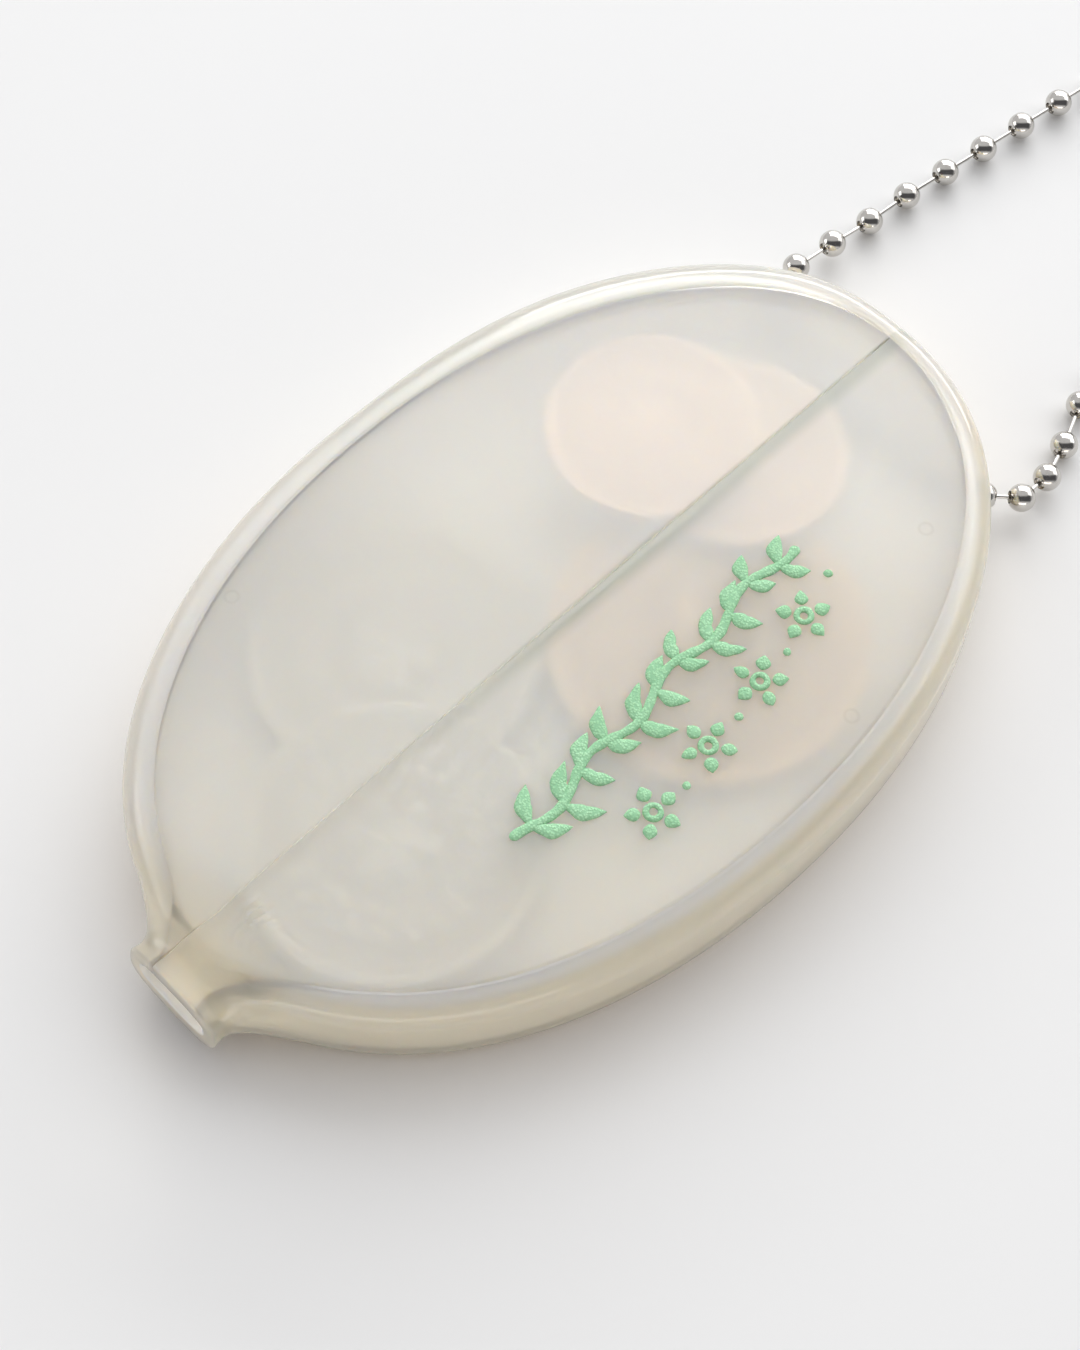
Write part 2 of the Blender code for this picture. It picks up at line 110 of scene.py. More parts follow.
# Neck form: each row is a share of the way from root to mouth, then shares of width, depth and height
NECK_ROOT_X = -(HALF_LENGTH - 1.5 * MM)
NECK_WIDTH = 10.2 * MM
NECK_HEIGHT = 4.8 * MM
NECK_CENTRE_Z = 3.9 * MM
NECK_CENTRE_Y = -1.2 * MM
NECK_WALL = 1.55 * MM
NECK_POWER = 3.0
NECK_SECTION_SHARES = np.array((
    (-0.7, 2.20, 1.42, 1.36), (-0.3, 1.84, 1.42, 1.44), (0.0, 1.54, 1.40, 1.46), (0.25, 1.28, 1.22, 1.38),
    (0.45, 1.08, 1.06, 1.22), (0.68, 0.94, 0.96, 1.05), (0.86, 0.94, 0.95, 0.98), (1.0, 1.0, 1.0, 1.0)))
MOUTH_SLANT = 0.8 * MM
MOUTH_SLANT_REACH = 4.0 * MM
TOP_SAG = 1.0 * MM
TOP_SAG_START = -33.5 * MM
TOP_SAG_REACH = 6.0 * MM
TOP_SAG_BREADTH = 7.0 * MM
NECK_SMOOTHING_SHARES = np.linspace(-0.13, 0.13, 7)
NECK_REACH_IN = 3.0 * MM
NECK_PLAN_REACH = 6 * MM
NECK_PLAN_BLEND = 2.2 * MM
NECK_TURN_START = 2.0 * MM
NECK_TURN_RUN = 4 * MM
MOUTH_ROUNDING = 0.28 * MM
MOUTH_STRAIGHT = 0.4 * MM
MOUTH_TURN_RUN = 3.5 * MM
BODY_NECK_BLEND = 1.6 * MM
INNER_BLEND_SHARE = 0.6
NOWHERE = -10 * MM

# Moulding mark at the tip
MARK_HALF_SIZE = np.array((1.0, 2.5, 1.5)) * MM
MARK_CENTRE = np.array((HALF_LENGTH + MARK_PROUD - MARK_HALF_SIZE[0], 0.0, 5.2 * MM))
MARK_ROUNDING = 0.45 * MM
MARK_BLEND = 0.3 * MM

# Skin mesh
STATIONS = 230
DENSE_STATIONS = 3000
TIP_RUN = 1.2 * MM
TIP_EXTRA_STATIONS = 2.5
NECK_EXTRA_STATIONS = 1.5
MOUTH_EXTRA_STATIONS = 12
RIM_ROWS = 9
SIDE_ROWS = 14
FLOOR_FILLET_ROWS = 6
FLOOR_ROWS = 26
LIP_ROWS = 42
HOLE_REACH = 3.0 * MM
HOLE_SIDES = 48
CUT_ROW_SHARES = (1.0, 0.62, 0.3, 0.1, 0.0)
PROJECTION_ROUNDS = 7
PROBE = 0.01 * MM
FREE_RUN = 2 * MM
FREE_START_SHARE = 0.4
LEAST_SLOPE_SQUARED = 0.04

# Ball chain, as in the solids
BALL_DIAMETER = 2.4 * MM
BALL_WALL = 0.17 * MM
BALL_HOLE = 1.1 * MM
WIRE_DIAMETER = 0.34 * MM
HEAD_OVERLAP = 0.08 * MM
HEAD_THICKNESS = 0.24 * MM
HEAD_CLEARANCE = 0.14 * MM
HEAD_ROUNDING_SHARE = 0.3
ROOT_HEAD_SHARE = 0.8
WIRE_FLARE = 1.5
HOLE_ROLL = 0.03 * MM
PITCH = 4.55 * MM
CHAIN_LIFT = 0.05 * MM
CHAIN_HOLE = BALL_DIAMETER + 0.9 * MM
FLOOR_CLEARANCE = 0.25 * MM
DROP_BALLS = 3
THREADED_SHARES = {
    "left": ((0.82, 0.043), (0.822, 0.190), (0.852, 0.329), (0.926, 0.440)),
    "right": ((0.82, -0.103), (0.82, -0.250), (0.822, -0.393), (0.876, -0.524)),
}
LEAD_SHARES = {
    "left": ((21, 0.97), (-3, 1.0), (-5, 1.0), (-5, 1.0)),
    "right": ((-42, 0.73), (0, 0.75), (18, 0.88), (23, 0.98), (9, 1.0)),
}
SWING_HEADING = -8
SWING_STEPS = 5
BIGHT_STEPS = 9
BIGHT_TURN = -18
CONNECTOR_SLACK = 0.1 * MM
CONNECTOR_SHEET = 0.3 * MM
CONNECTOR_CLEARANCE = 0.15 * MM
CONNECTOR_HOLD = 0.2 * MM
BALL_RADIUS = BALL_DIAMETER / 2
BALL_SIDES = 40
BALL_SPANS = 22
WIRE_SIDES = 14

# Balls inside the case, which take the darkened nickel as painted shade
SHADED_BALLS = ("threaded_1", "threaded_2", "threaded_3")

# Folded clasp
CLASP_SKIRT_SHARE = 0.5
CONNECTOR_SWING_SHARE = 0.96
CLASP_POWER = 4.5
CLASP_SIDES = 88
CLASP_WALL_ROWS = 8
CLASP_ROUNDING_ROWS = 6
CLASP_ROOF_SHARES = (0.85, 0.7, 0.55, 0.4, 0.25, 0.1)
CLASP_ROUNDING = 0.55 * MM
CLASP_PINCH = 0.16
CLASP_PINCH_RUN = 0.8 * MM
CLASP_DOME = 0.12 * MM
CLASP_DOME_RADIUS = 1.1 * MM
CLASP_EDGE_ROLL = 0.05 * MM

# Coins
COIN_RIM_WIDTH = 0.9 * MM
COIN_RIM_SLOPE = 0.18 * MM
COIN_RELIEF = 0.12 * MM
COIN_EDGE_ROUNDING = 0.1 * MM
COIN_REED_DEPTH = 0.06 * MM
COIN_SIDES_PER_REED = 3
COIN_SIDES_PER_BEAD = 6
COIN_BEAD_PITCH = 1.05 * MM
COIN_BEAD_RADIUS = 0.36 * MM
COIN_BEAD_INSET = 1.6 * MM
COIN_LEAVES = 22
COIN_HUB = 0.08 * MM
COIN_RINGS = 56
COIN_EDGE_RINGS = 3
COIN_MERGE = 0
COIN_SHARP_ANGLE = 50
RELIEF_NAME = "relief_height"

# A coin's design in twelfths of its radius: rings of leaves with their leans, the line between them,
# leaves as half length, half breadth and vein, petals as least reach, swing and edge, and the button
COIN_WREATHS = ((7.9, 0.62), (6.3, -0.62))
COIN_LINE = (7.1, 0.16)
COIN_LEAF = (1.15, 0.5, 0.09)
COIN_PETALS = (2.0, 2.2, 0.5)
COIN_BUTTON = 0.9

# Each coin's node, slot and turn
COINS = (("coin_bronze", "bronze", 0.4), ("coin_grey_low", "cupronickel", 1.9),
         ("coin_grey_high", "cupronickel", 3.3), ("coin_pink_low", "pink_copper", 5.0),
         ("coin_pink_high", "pink_copper", 2.4))

# Material slots of the skins
FACE_SLOT, JOINT_SLOT, INNER_SLOT, RIM_SLOT = range(4)

# Raised print
PRINT_HEIGHT = 0.21 * MM
PRINT_STEP = 0.12 * MM
PRINT_SECTION_POINTS = 9
PRINT_FEWEST_POINTS = 14
PRINT_SHARP_ANGLE = 60
PRINT_MERGE = 0.00001 * MM
PRINT_LEAST_FULLNESS = 0.08
PRINT_SUNK_FOOT = ((-0.92, 0.92), (-0.3, -0.3))
PRINT_WAVERS = ((0.09, 0.55 * MM, 1), (0.06, 0.23 * MM, 2))
PRINT_PHASE_LENGTH = 0.37 * MM
INK_PEBBLE_SCALE = 5000.0

# The sprig's places in millimetres on the case's plan: a waving stem with paired leaves, blossoms and dots
STEM_ENDS = (-17.0, 17.2)
STEM_POINTS = 120
STEM_START_Y = -11.7
STEM_SLOPE = 0.105
STEM_WAVE = 0.62
STEM_WAVE_TURN = 0.66
STEM_WAVE_START = 0.4
STEM_HALF_WIDTH = 0.40 * MM
LEAF_PAIRS = 11
FIRST_LEAF = -15.2
LEAF_SPACING = 3.0
LEAF_HEADING = 52
LEAF_HEADING_STEP = 9
LEAF_SPREAD = 96
LEAF_LENGTH = 3.5
LOWER_LEAF_SHARE = 0.92
LEAF_FOOT = 0.15
LEAF_BEND = 0.12
LEAF_HALF_BREADTH = 0.62 * MM
BLOSSOM_CENTRES = ((-7.6, -17.0), (-0.6, -16.0), (6.3, -14.9), (13.0, -13.3))
BLOSSOM_RING = 0.58
BLOSSOM_RING_POINTS = 40
BLOSSOM_RING_HALF_WIDTH = 0.25 * MM
BLOSSOM_TURN = 17
PETALS = 5
PETAL_REACH = (1.0, 2.3)
PETAL_HALF_BREADTH = 0.56 * MM
DOT_CENTRES = ((-4.2, -17.2), (2.9, -15.9), (9.7, -14.6), (17.2, -12.0))
DOT_REACH = 0.34
DOT_HEADING = 40
DOT_HALF_WIDTH = 0.36 * MM

# Faint round marks in the vinyl
MOULDING_RING_CENTRES = np.array(((-18.4, 19.5, 8.8), (9.3, -21.9, 8.8), (26.0, -14.6, 8.8))) * MM
MOULDING_RING_RADIUS = 0.55 * MM
MOULDING_RING_BREADTH = 0.22 * MM
MOULDING_RING_TINT = (0.62, 0.60, 0.56, 1)

# Where painted glow and painted shade tint the vinyl, as values for spread
WALL_RISE = (8.75 * MM, 6.6 * MM)
NEAR_RIM_RISE = (8.9 * MM, 8.4 * MM)
NEAR_RIM_ACROSS = (-2.0 * MM, -14.0 * MM, 0.0, 0.85)
NECK_ALONG = (-33.5 * MM, -40.0 * MM)
CUT_BAND_FAR_EDGE = (-1.9 * MM, -0.5 * MM)
CUT_BAND_NEAR_EDGE = (0.3 * MM, 0.0)
CUT_BAND_ALONG = (-24.0 * MM, 6.0 * MM, 0.2, 0.95)
CUT_BAND_RISE = (6.5 * MM, 8.0 * MM)
# Colour of the painted shade beside the cut
CUT_SHADE_TINT = (0.68, 0.72, 0.665, 1)
FAR_RIM_ACROSS = (6.0 * MM, 14.0 * MM)
FAR_RIM_ALONG = (-12.0 * MM, 4.0 * MM)
# Colour of the painted shade on the far rim
FAR_RIM_SHADE_TINT = (0.66, 0.69, 0.63, 1)

# Light let through to the shadow, and light lost inside the vinyl
SHADOW_TINT = (0.96, 0.94, 0.895, 1)
DEPTH_TINT = (0.90, 0.82, 0.64, 1)
DEPTH_DENSITY = 28.0

# Each vinyl finish: transmission, roughness, reach of red, green and blue light in millimetres, light
# tint, deep tint, tint of the painted warm glow on the wall and neck, and how strongly painted shade darkens
# the far rim
VINYL_FINISHES = {
    "milky_vinyl": (0.68, 0.31, (3.4, 3.0, 2.3), (0.98, 0.975, 0.945), (0.96, 0.95, 0.905),
                    (0.94, 0.87, 0.74), 0.0),
    "inner_vinyl": (0.3, 0.36, (3.0, 2.6, 2.0), (0.98, 0.965, 0.92), (0.97, 0.95, 0.89),
                    (0.98, 0.95, 0.88), 0.0),
    "rim_vinyl": (0.6, 0.36, (3.0, 2.9, 2.8), (0.98, 0.975, 0.955), (0.97, 0.96, 0.92),
                  (0.985, 0.87, 0.69), 0.5),
}

# Each metal: clean tint, tarnished tint, roughness, patch scale, amount of tarnish, and whether it is struck
METALS = {
    "bright_nickel": ((0.64, 0.62, 0.59), (0.36, 0.33, 0.30), 0.10, 700.0, 0.25, False),
    # The next nickel is the same metal painted dark, as painted shade for the balls inside the case
    "shaded_nickel": ((0.16, 0.17, 0.19), (0.09, 0.10, 0.11), 0.3, 700.0, 0.5, False),
    "worn_cupronickel": ((0.52, 0.51, 0.48), (0.24, 0.22, 0.19), 0.32, 260.0, 0.5, True),
    "worn_pink_copper": ((0.60, 0.45, 0.36), (0.30, 0.19, 0.14), 0.32, 300.0, 0.5, True),
    "worn_bronze": ((0.60, 0.44, 0.28), (0.26, 0.17, 0.10), 0.34, 240.0, 0.5, True),
}

# The studio's dark side, a band which the balls reflect, and the axis that the band lies around
DARK_SIDE = (-0.446, -0.463, 0.766)
DARK_BAND_AXIS = (-0.532, -0.551, -0.643)
DARK_SIDE_EDGE = (0.1, 0.5)
DARK_BAND_EDGE = (0.5, 0.26)
STUDIO_TINT = (0.73, 0.73, 0.735, 1)
DARK_TINT = (0.10, 0.10, 0.105, 1)
FLOOR_HALF_SIZE = 2.5
FLOOR_DROP = 0.02 * MM

# Each softbox: azimuth, elevation, size, power and colour, all at one distance
SOFTBOX_DISTANCE = 1.3
SOFTBOXES = {
    "high_window": (32, 42, (1.3, 0.8), 7.3, (1, 1, 1)),
    "low_window": (28, 17, (1.5, 0.2), 8.0, (1, 1, 1)),
    "side_fill": (-24, 32, (0.8, 0.8), 2.6, (1, 1, 1)),
    "left_fill": (132, 25, (0.7, 0.5), 2.2, (1, 1, 1)),
    "front_card": (222, 7, (1.6, 0.3), 3.2, (1.0, 0.92, 0.82)),
}

# Photograph's camera, worked out from the outline of the case
PHOTO_HEIGHT = 1350
FOCAL_PIXELS = 2515
SENSOR = 36.0
CAMERA_AZIMUTH = -43.96
CAMERA_ELEVATION = 62.88
CAMERA_DISTANCE = 207.2 * MM
CAMERA_AIM = Vector((-2.34, 0.88, -0.43)) * MM


# Mesh helpers

def new_object(name, mesh, *materials):
    made = bpy.data.objects.new(name, mesh)
    bpy.context.scene.collection.objects.link(made)
    for material in materials:
        mesh.materials.append(material)
    return made


def finish_mesh(bm, name, sharp_angle=40, merge=0.0005 * MM):
    bmesh.ops.remove_doubles(bm, verts=bm.verts, dist=merge)
    bmesh.ops.recalc_face_normals(bm, faces=bm.faces)
    mesh = bpy.data.meshes.new(name)
    bm.to_mesh(mesh)
    bm.free()
    mesh.shade_smooth()
    mesh.set_sharp_from_angle(angle=math.radians(sharp_angle))
    return mesh


def add_grid(bm, rows, slots=0, flip=False):
    """Adds a sheet of quads over rows of vertices; slots gives a material slot for all or for each column."""
    slots = np.broadcast_to(slots, len(rows[0]) - 1).tolist()
    for near, far in zip(rows, rows[1:]):
        for index, slot in enumerate(slots):
            corners = (near[index], near[index + 1], far[index + 1], far[index])
            face = bm.faces.new(corners[::-1] if flip else corners)
            face.material_index = slot


def thick_sheet(name, outer, inner, outer_slots, inner_slot, edge_slots):
    """A closed skin from an outer and an inner grid of points.

    edge_slots gives the material slot of the walls along the first row, the last row and the last
    station. The first station is left to be welded, because the two sides of the oval meet there.
    """
    bm = bmesh.new()
    outside = [[bm.verts.new(point) for point in station] for station in outer]
    inside = [[bm.verts.new(point) for point in station] for station in inner]
    add_grid(bm, outside, outer_slots)
    add_grid(bm, inside, inner_slot, flip=True)
    first_row, last_row, last_station = edge_slots
    add_grid(bm, [[s[0] for s in inside], [s[0] for s in outside]], first_row)
    add_grid(bm, [[s[-1] for s in outside], [s[-1] for s in inside]], last_row)
    add_grid(bm, [outside[-1], inside[-1]], last_station)
    return finish_mesh(bm, name, merge=0.00003 * MM)


def revolve(bm, profile, sides, matrix, closed=False):
    """Turns a profile of (radius, height) pairs about the matrix's Z axis."""
    rings = []
    for radius, height in profile:
        if radius < 1e-9:
            rings.append([bm.verts.new(matrix @ Vector((0, 0, height)))] * sides)
            continue
        turns = (2 * math.pi * side / sides for side in range(sides))
        rings.append([bm.verts.new(matrix @ Vector((radius * math.cos(t), radius * math.sin(t), height)))
                      for t in turns])
    pairs = list(zip(rings, rings[1:]))
    if closed:
        pairs.append((rings[-1], rings[0]))
    for lower, upper in pairs:
        for side in range(sides):
            following = (side + 1) % sides
            corners = []
            for vert in (lower[side], lower[following], upper[following], upper[side]):
                if vert not in corners:
                    corners.append(vert)
            if len(corners) > 2:
                bm.faces.new(corners)


def add_rings(bm, rings, first_cap=None, last_cap=None, wrap=False):
    """Faces over rings of points; a cap point closes an end, and wrap joins the last ring to the first."""
    made = [[bm.verts.new(point) for point in ring] for ring in rings]
    pairs = list(zip(made, made[1:]))
    if wrap:
        pairs.append((made[-1], made[0]))
    for near, far in pairs:
        for index in range(len(near)):
            after = (index + 1) % len(near)
            bm.faces.new((near[index], near[after], far[after], far[index]))
    for cap, ring in ((first_cap, made[0]), (last_cap, made[-1])):
        if cap is not None:
            centre = bm.verts.new(cap)
            for index in range(len(ring)):
                bm.faces.new((centre, ring[index], ring[(index + 1) % len(ring)]))


def add_box(bm, low, high):
    corners = ((low[0], low[1]), (high[0], low[1]), (high[0], high[1]), (low[0], high[1]))
    lower, upper = ([bm.verts.new((x, y, z)) for x, y in corners] for z in (low[2], high[2]))
    bm.faces.new(lower[::-1])
    bm.faces.new(upper)
    for index in range(4):
        after = (index + 1) % 4
        bm.faces.new((lower[index], lower[after], upper[after], upper[index]))


def turned_along(place, direction):
    turn = Vector((0, 0, 1)).rotation_difference(direction)
    return Matrix.Translation(place) @ turn.to_matrix().to_4x4()


def cut_away(target, bm, name):
    """Takes the shape in bm out of a piece."""
    cutter = new_object(name, finish_mesh(bm, name))
    modifier = target.modifiers.new("cut", "BOOLEAN")
    modifier.object = cutter
    modifier.operation = "DIFFERENCE"
    modifier.solver = "EXACT"
    bpy.context.view_layer.update()
    evaluated = target.evaluated_get(bpy.context.evaluated_depsgraph_get())
    cut = bpy.data.meshes.new_from_object(evaluated)
    target.modifiers.clear()
    target.data = cut
    bpy.data.objects.remove(cutter, do_unlink=True)


# Vinyl skin form

def smooth_step(share):
    share = np.clip(share, 0, 1)
    return share ** 2 * (3 - 2 * share)


def neck_half_sizes(x, inset, mouth_sign):
    """Half width, depth below the middle and height above it of the neck at x."""
    along = (x - NECK_ROOT_X) / (MOUTH_X - NECK_ROOT_X)
    places, *sizes = NECK_SECTION_SHARES.T
    width, depth, height = (
        np.mean([np.interp(along + shift, places, size) for shift in NECK_SMOOTHING_SHARES], axis=0)
        for size in sizes)
    edge = np.clip((MOUTH_X + MOUTH_ROUNDING - x) / MOUTH_ROUNDING, 0, 1)
    taken = inset + mouth_sign * MOUTH_ROUNDING * (1 - np.sqrt(1 - edge ** 2))
    half_height = NECK_HEIGHT / 2
    return NECK_WIDTH / 2 * width - taken, half_height * depth - taken, half_height * height - taken


def neck_share(x):
    """How far the top and the floor have turned into the neck's at x."""
    return smooth_step((NECK_ROOT_X + NECK_TURN_START - x) / NECK_TURN_RUN)


def superellipse(u, v, power):
    """The superellipse's scale through each point, with its slopes along u and v."""
    u_part = np.abs(u) ** power
    v_part = np.abs(v) ** power
    scale = np.maximum((u_part + v_part) ** (1 / power), 1e-4)
    along_u = scale ** (1 - power) * np.abs(u) ** (power - 1)
    along_v = scale ** (1 - power) * np.abs(v) ** (power - 1)
    return scale, along_u, along_v


def rim_fillet(y):
    """The rim's rounding, which is fuller on the left side."""
    return RIM_FILLET + LEFT_RIM_EXTRA * smooth_step(y / HALF_WIDTH)


def body_distance(points, inset):
    x, y, z = points.T
    # The top sinks gently towards the neck
    sag = TOP_SAG * smooth_step((TOP_SAG_START - x) / TOP_SAG_REACH) * np.exp(
        -((y - NECK_CENTRE_Y) / TOP_SAG_BREADTH) ** 2)
    z = z + sag * smooth_step(2 * z / CASE_HEIGHT - 1)
    half_length, half_width = HALF_LENGTH - inset, HALF_WIDTH - inset
    scale, along_x, along_y = superellipse(x / half_length, y / half_width, OVAL_POWER)
    plan = (scale - 1) / np.maximum(np.hypot(along_x / half_length, along_y / half_width), 1e-3)
    middle = CASE_HEIGHT / 2
    radius = np.where(z > middle, rim_fillet(y), BASE_FILLET) if inset == 0 else INNER_FILLET
    across = plan + radius
    upward = np.abs(z - middle) - (middle - inset) + radius
    outside = np.hypot(np.maximum(across, 0), np.maximum(upward, 0))
    return outside + np.minimum(np.maximum(across, upward), 0) - radius


def neck_distance(points, inset, mouth_sign):
    x, y, z = points.T
    half_width, depth, height = neck_half_sizes(x, inset, mouth_sign)
    half_height = np.where(z > NECK_CENTRE_Z, height, depth)
    scale, along_y, along_z = superellipse(
        (y - NECK_CENTRE_Y) / half_width, (z - NECK_CENTRE_Z) / half_height, NECK_POWER)
    tube = (scale - 1) / np.maximum(np.hypot(along_y / half_width, along_z / half_height), 1e-3)
    return np.maximum(tube, x - NECK_ROOT_X - NECK_REACH_IN - inset)


def mark_distance(points):
    beyond = np.abs(points - MARK_CENTRE) - (MARK_HALF_SIZE - MARK_ROUNDING)
    outside = np.linalg.norm(np.maximum(beyond, 0), axis=1)
    return outside + np.minimum(beyond.max(axis=1), 0) - MARK_ROUNDING


def smooth_union(first, second, blend):
    near = np.maximum(blend - np.abs(first - second), 0) / blend
    return np.minimum(first, second) - near ** 2 * blend / 4


def skin_distance(points, inner):
    if inner:
        return smooth_union(body_distance(points, WALL), neck_distance(points, NECK_WALL, -1),
                            BODY_NECK_BLEND * INNER_BLEND_SHARE)
    joined = smooth_union(body_distance(points, 0), neck_distance(points, 0, 1), BODY_NECK_BLEND)
    return smooth_union(joined, mark_distance(points), MARK_BLEND)


def settle_on_skin(points, inner, vertical):
    """Moves points onto the outer or the inner face of the skin."""
    shape = points.shape
    settled = points.reshape(-1, 3).copy()
    # Near the mouth no point leaves its own section
    free_x = np.clip((settled[:, 0] - MOUTH_X) / FREE_RUN - FREE_START_SHARE, 0, 1)
    steps = np.eye(3) * PROBE
    for _ in range(PROJECTION_ROUNDS):
        value = skin_distance(settled, inner)
        slope = np.stack([skin_distance(settled + step, inner) - skin_distance(settled - step, inner)
                          for step in steps], axis=1) / (2 * PROBE)
        if vertical:
            slope[:, :2] = 0
        slope[:, 0] *= free_x
        length = np.maximum((slope ** 2).sum(axis=1), LEAST_SLOPE_SQUARED)
        settled -= (value / length)[:, None] * slope
    return settled.reshape(shape)


def side_outline(side, inset, neck_inset):
    """Plan outline of one side, from the tip to the mouth, closely spaced."""
    turns = np.linspace(0, math.pi, DENSE_STATIONS)
    x = (HALF_LENGTH - inset) * np.sign(np.cos(turns)) * np.abs(np.cos(turns)) ** (2 / OVAL_POWER)
    x = np.concatenate((x, np.linspace(x[-1], MOUTH_X, DENSE_STATIONS // 5)[1:]))
    share = np.clip(np.abs(x) / (HALF_LENGTH - inset), 0, 1)
    oval = (HALF_WIDTH - inset) * (1 - share ** OVAL_POWER) ** (1 / OVAL_POWER)
    neck = neck_half_sizes(x, neck_inset, 0)[0] + side * NECK_CENTRE_Y
    neck = np.where(x < NECK_ROOT_X + NECK_PLAN_REACH, neck, NOWHERE)
    y = -smooth_union(-oval, -neck, NECK_PLAN_BLEND)
    y[0] = 0
    return np.stack((x, side * y), axis=1)


def inward_normals(outline, side):
    """Directions from the outline into the case; at the mouth they run straight across the neck."""
    along = np.gradient(outline, axis=0)
    along /= np.linalg.norm(along, axis=1)[:, None]
    normals = side * np.stack((-along[:, 1], along[:, 0]), axis=1)
    share = smooth_step((outline[:, :1] - MOUTH_X - MOUTH_STRAIGHT) / MOUTH_TURN_RUN)
    normals = normals * share + np.array((0.0, -side)) * (1 - share)
    normals /= np.linalg.norm(normals, axis=1)[:, None]
    normals[0] = (-1, 0)
    return normals


def choose_stations(outline, crease):
    """Indices of the stations: evenly spaced, but closer at the tip, along the neck and at the mouth."""
    def lengths(curve):
        return np.concatenate(((0,), np.linalg.norm(np.diff(curve, axis=0), axis=1)))

    x = outline[:, 0]
    closer = (1 + TIP_EXTRA_STATIONS * (x > HALF_LENGTH - TIP_RUN)
              + NECK_EXTRA_STATIONS * (x < NECK_ROOT_X)
              + MOUTH_EXTRA_STATIONS * (x < MOUTH_X + 1.2 * MOUTH_ROUNDING))
    measure = np.cumsum((lengths(outline) + lengths(crease)) * closer)
    return np.searchsorted(measure, np.linspace(0, measure[-1] * 0.999999, STATIONS))


class SkinSide:
    """Outline, crease and rows of one side of the skin."""

    def __init__(self, side):
        dense = {}
        for inner, inset, neck_inset in ((False, 0, 0), (True, WALL, NECK_WALL)):
            outline = side_outline(side, inset, neck_inset)
            dense[inner] = (outline, inward_normals(outline, side))
        outline, normals = dense[False]
        crease = outline + normals * (rim_fillet(outline[:, 1:]) + CREASE_MARGIN)
        stations = choose_stations(outline, crease)
        stations[-1] = len(outline) - 1
        self.side = side
        self.crease = crease[stations]
        self.crease[-1, 0] = MOUTH_X
        self.outlines = {inner: (curve[stations], turned[stations])
                         for inner, (curve, turned) in dense.items()}

    def section_rows(self, inner):
        """Rows of points from the crease over the rim, down the side and round to the floor."""
        outline, normals = self.outlines[inner]
        rim, base, top, bottom = ((INNER_FILLET, INNER_FILLET, CASE_HEIGHT - WALL, WALL) if inner
                                  else (rim_fillet(outline[:, 1]), BASE_FILLET, CASE_HEIGHT, 0))
        rows = []
        for turn in np.linspace(math.pi / 2, 0, RIM_ROWS):
            rows.append((rim * (1 - math.cos(turn)), top - rim * (1 - math.sin(turn))))
        for share in np.linspace(0, 1, SIDE_ROWS)[1:-1]:
            rows.append((0, (top - rim) * (1 - share) + (bottom + base) * share))
        for turn in np.linspace(0, math.pi / 2, FLOOR_FILLET_ROWS):
            rows.append((base * (1 - math.cos(turn)), bottom + base * (1 - math.sin(turn))))
        x = outline[:, 0]
        _, depth, rise = neck_half_sizes(x, NECK_WALL if inner else 0, 0)
        share = neck_share(x)
        low = bottom * (1 - share) + (NECK_CENTRE_Z - depth) * share
        high = top * (1 - share) + (NECK_CENTRE_Z + rise) * share
        points = []
        for inset, height in rows:
            plan = outline + normals * np.reshape(inset, (-1, 1))
            plan[:, 0] = np.maximum(plan[:, 0], MOUTH_X)
            z = low + (height - bottom) / (top - bottom) * (high - low)
            points.append(np.column_stack((plan, z)))
        points = np.stack(points, axis=1)
        points[-1, :, 0] = MOUTH_X
        return settle_on_skin(points, inner, False)

    def crease_rows(self, inner):
        """Rows of points over the moulded line between the rim and the top, from the crease outwards."""
        outline, normals = self.outlines[False]
        rows = []
        for distance in CREASE_ROW_DISTANCES:
            plan = outline + normals * (rim_fillet(outline[:, 1:]) + CREASE_MARGIN - distance)
            plan[:, 0] = np.maximum(plan[:, 0], MOUTH_X)
            plan[-1, 0] = MOUTH_X
            points = self.top_points(plan, inner)
            if not inner:
                points[:, 2] -= groove_depth(distance, plan[:, 0])
            rows.append(points)
        return np.stack(rows, axis=1)

    def top_points(self, plan, inner):
        """Points on the top of the skin at the given plan places."""
        x = plan[..., 0]
        share = neck_share(x)
        body_top = CASE_HEIGHT - (WALL if inner else 0)
        neck_top = NECK_CENTRE_Z + neck_half_sizes(x, NECK_WALL if inner else 0, 0)[2]
        points = np.concatenate((plan, (body_top * (1 - share) + neck_top * share)[..., None]), axis=-1)
        return settle_on_skin(points, inner, True)

    def crease_y(self, x):
        return np.interp(x, self.crease[::-1, 0], np.abs(self.crease[::-1, 1]))


SIDES = {"left": SkinSide(1), "right": SkinSide(-1)}


def groove_depth(distance, x):
    """Depth of the moulded line where the top meets the rim; it fades out along the neck."""
    fade = smooth_step((x - NECK_ROOT_X) / CREASE_FADE)
    return CREASE_GROOVE * fade * (1 - smooth_step(distance / CREASE_GROOVE_WIDTH))


def crown_height(plan):
    """Rise of the top's gentle crown."""
    scale, _, _ = superellipse(plan[..., 0] / (HALF_LENGTH - CREASE_INSET),
                               plan[..., 1] / (HALF_WIDTH - CREASE_INSET), OVAL_POWER)
    return LIP_CROWN * np.clip(1 - scale ** 2, 0, 1)


def flow_mark_height(plan):
    """Fine ridges beside the neck, where the vinyl ran together in the mould."""
    away = plan - FLOW_CENTRE
    heading = np.array((math.cos(FLOW_HEADING), math.sin(FLOW_HEADING)))
    along = away @ heading
    across = away @ np.array((-heading[1], heading[0]))
    fade = np.exp(-(along / FLOW_LENGTH) ** 2 - (across / FLOW_BREADTH) ** 2)
    fade = fade * smooth_step(-plan[..., 1] / FLOW_CUT_RUN)
    waver = sum(depth * np.sin(along / length + phase) for depth, length, phase in FLOW_WAVERS)
    return FLOW_HEIGHT * fade * np.cos(2 * math.pi * (across / FLOW_PITCH + waver))


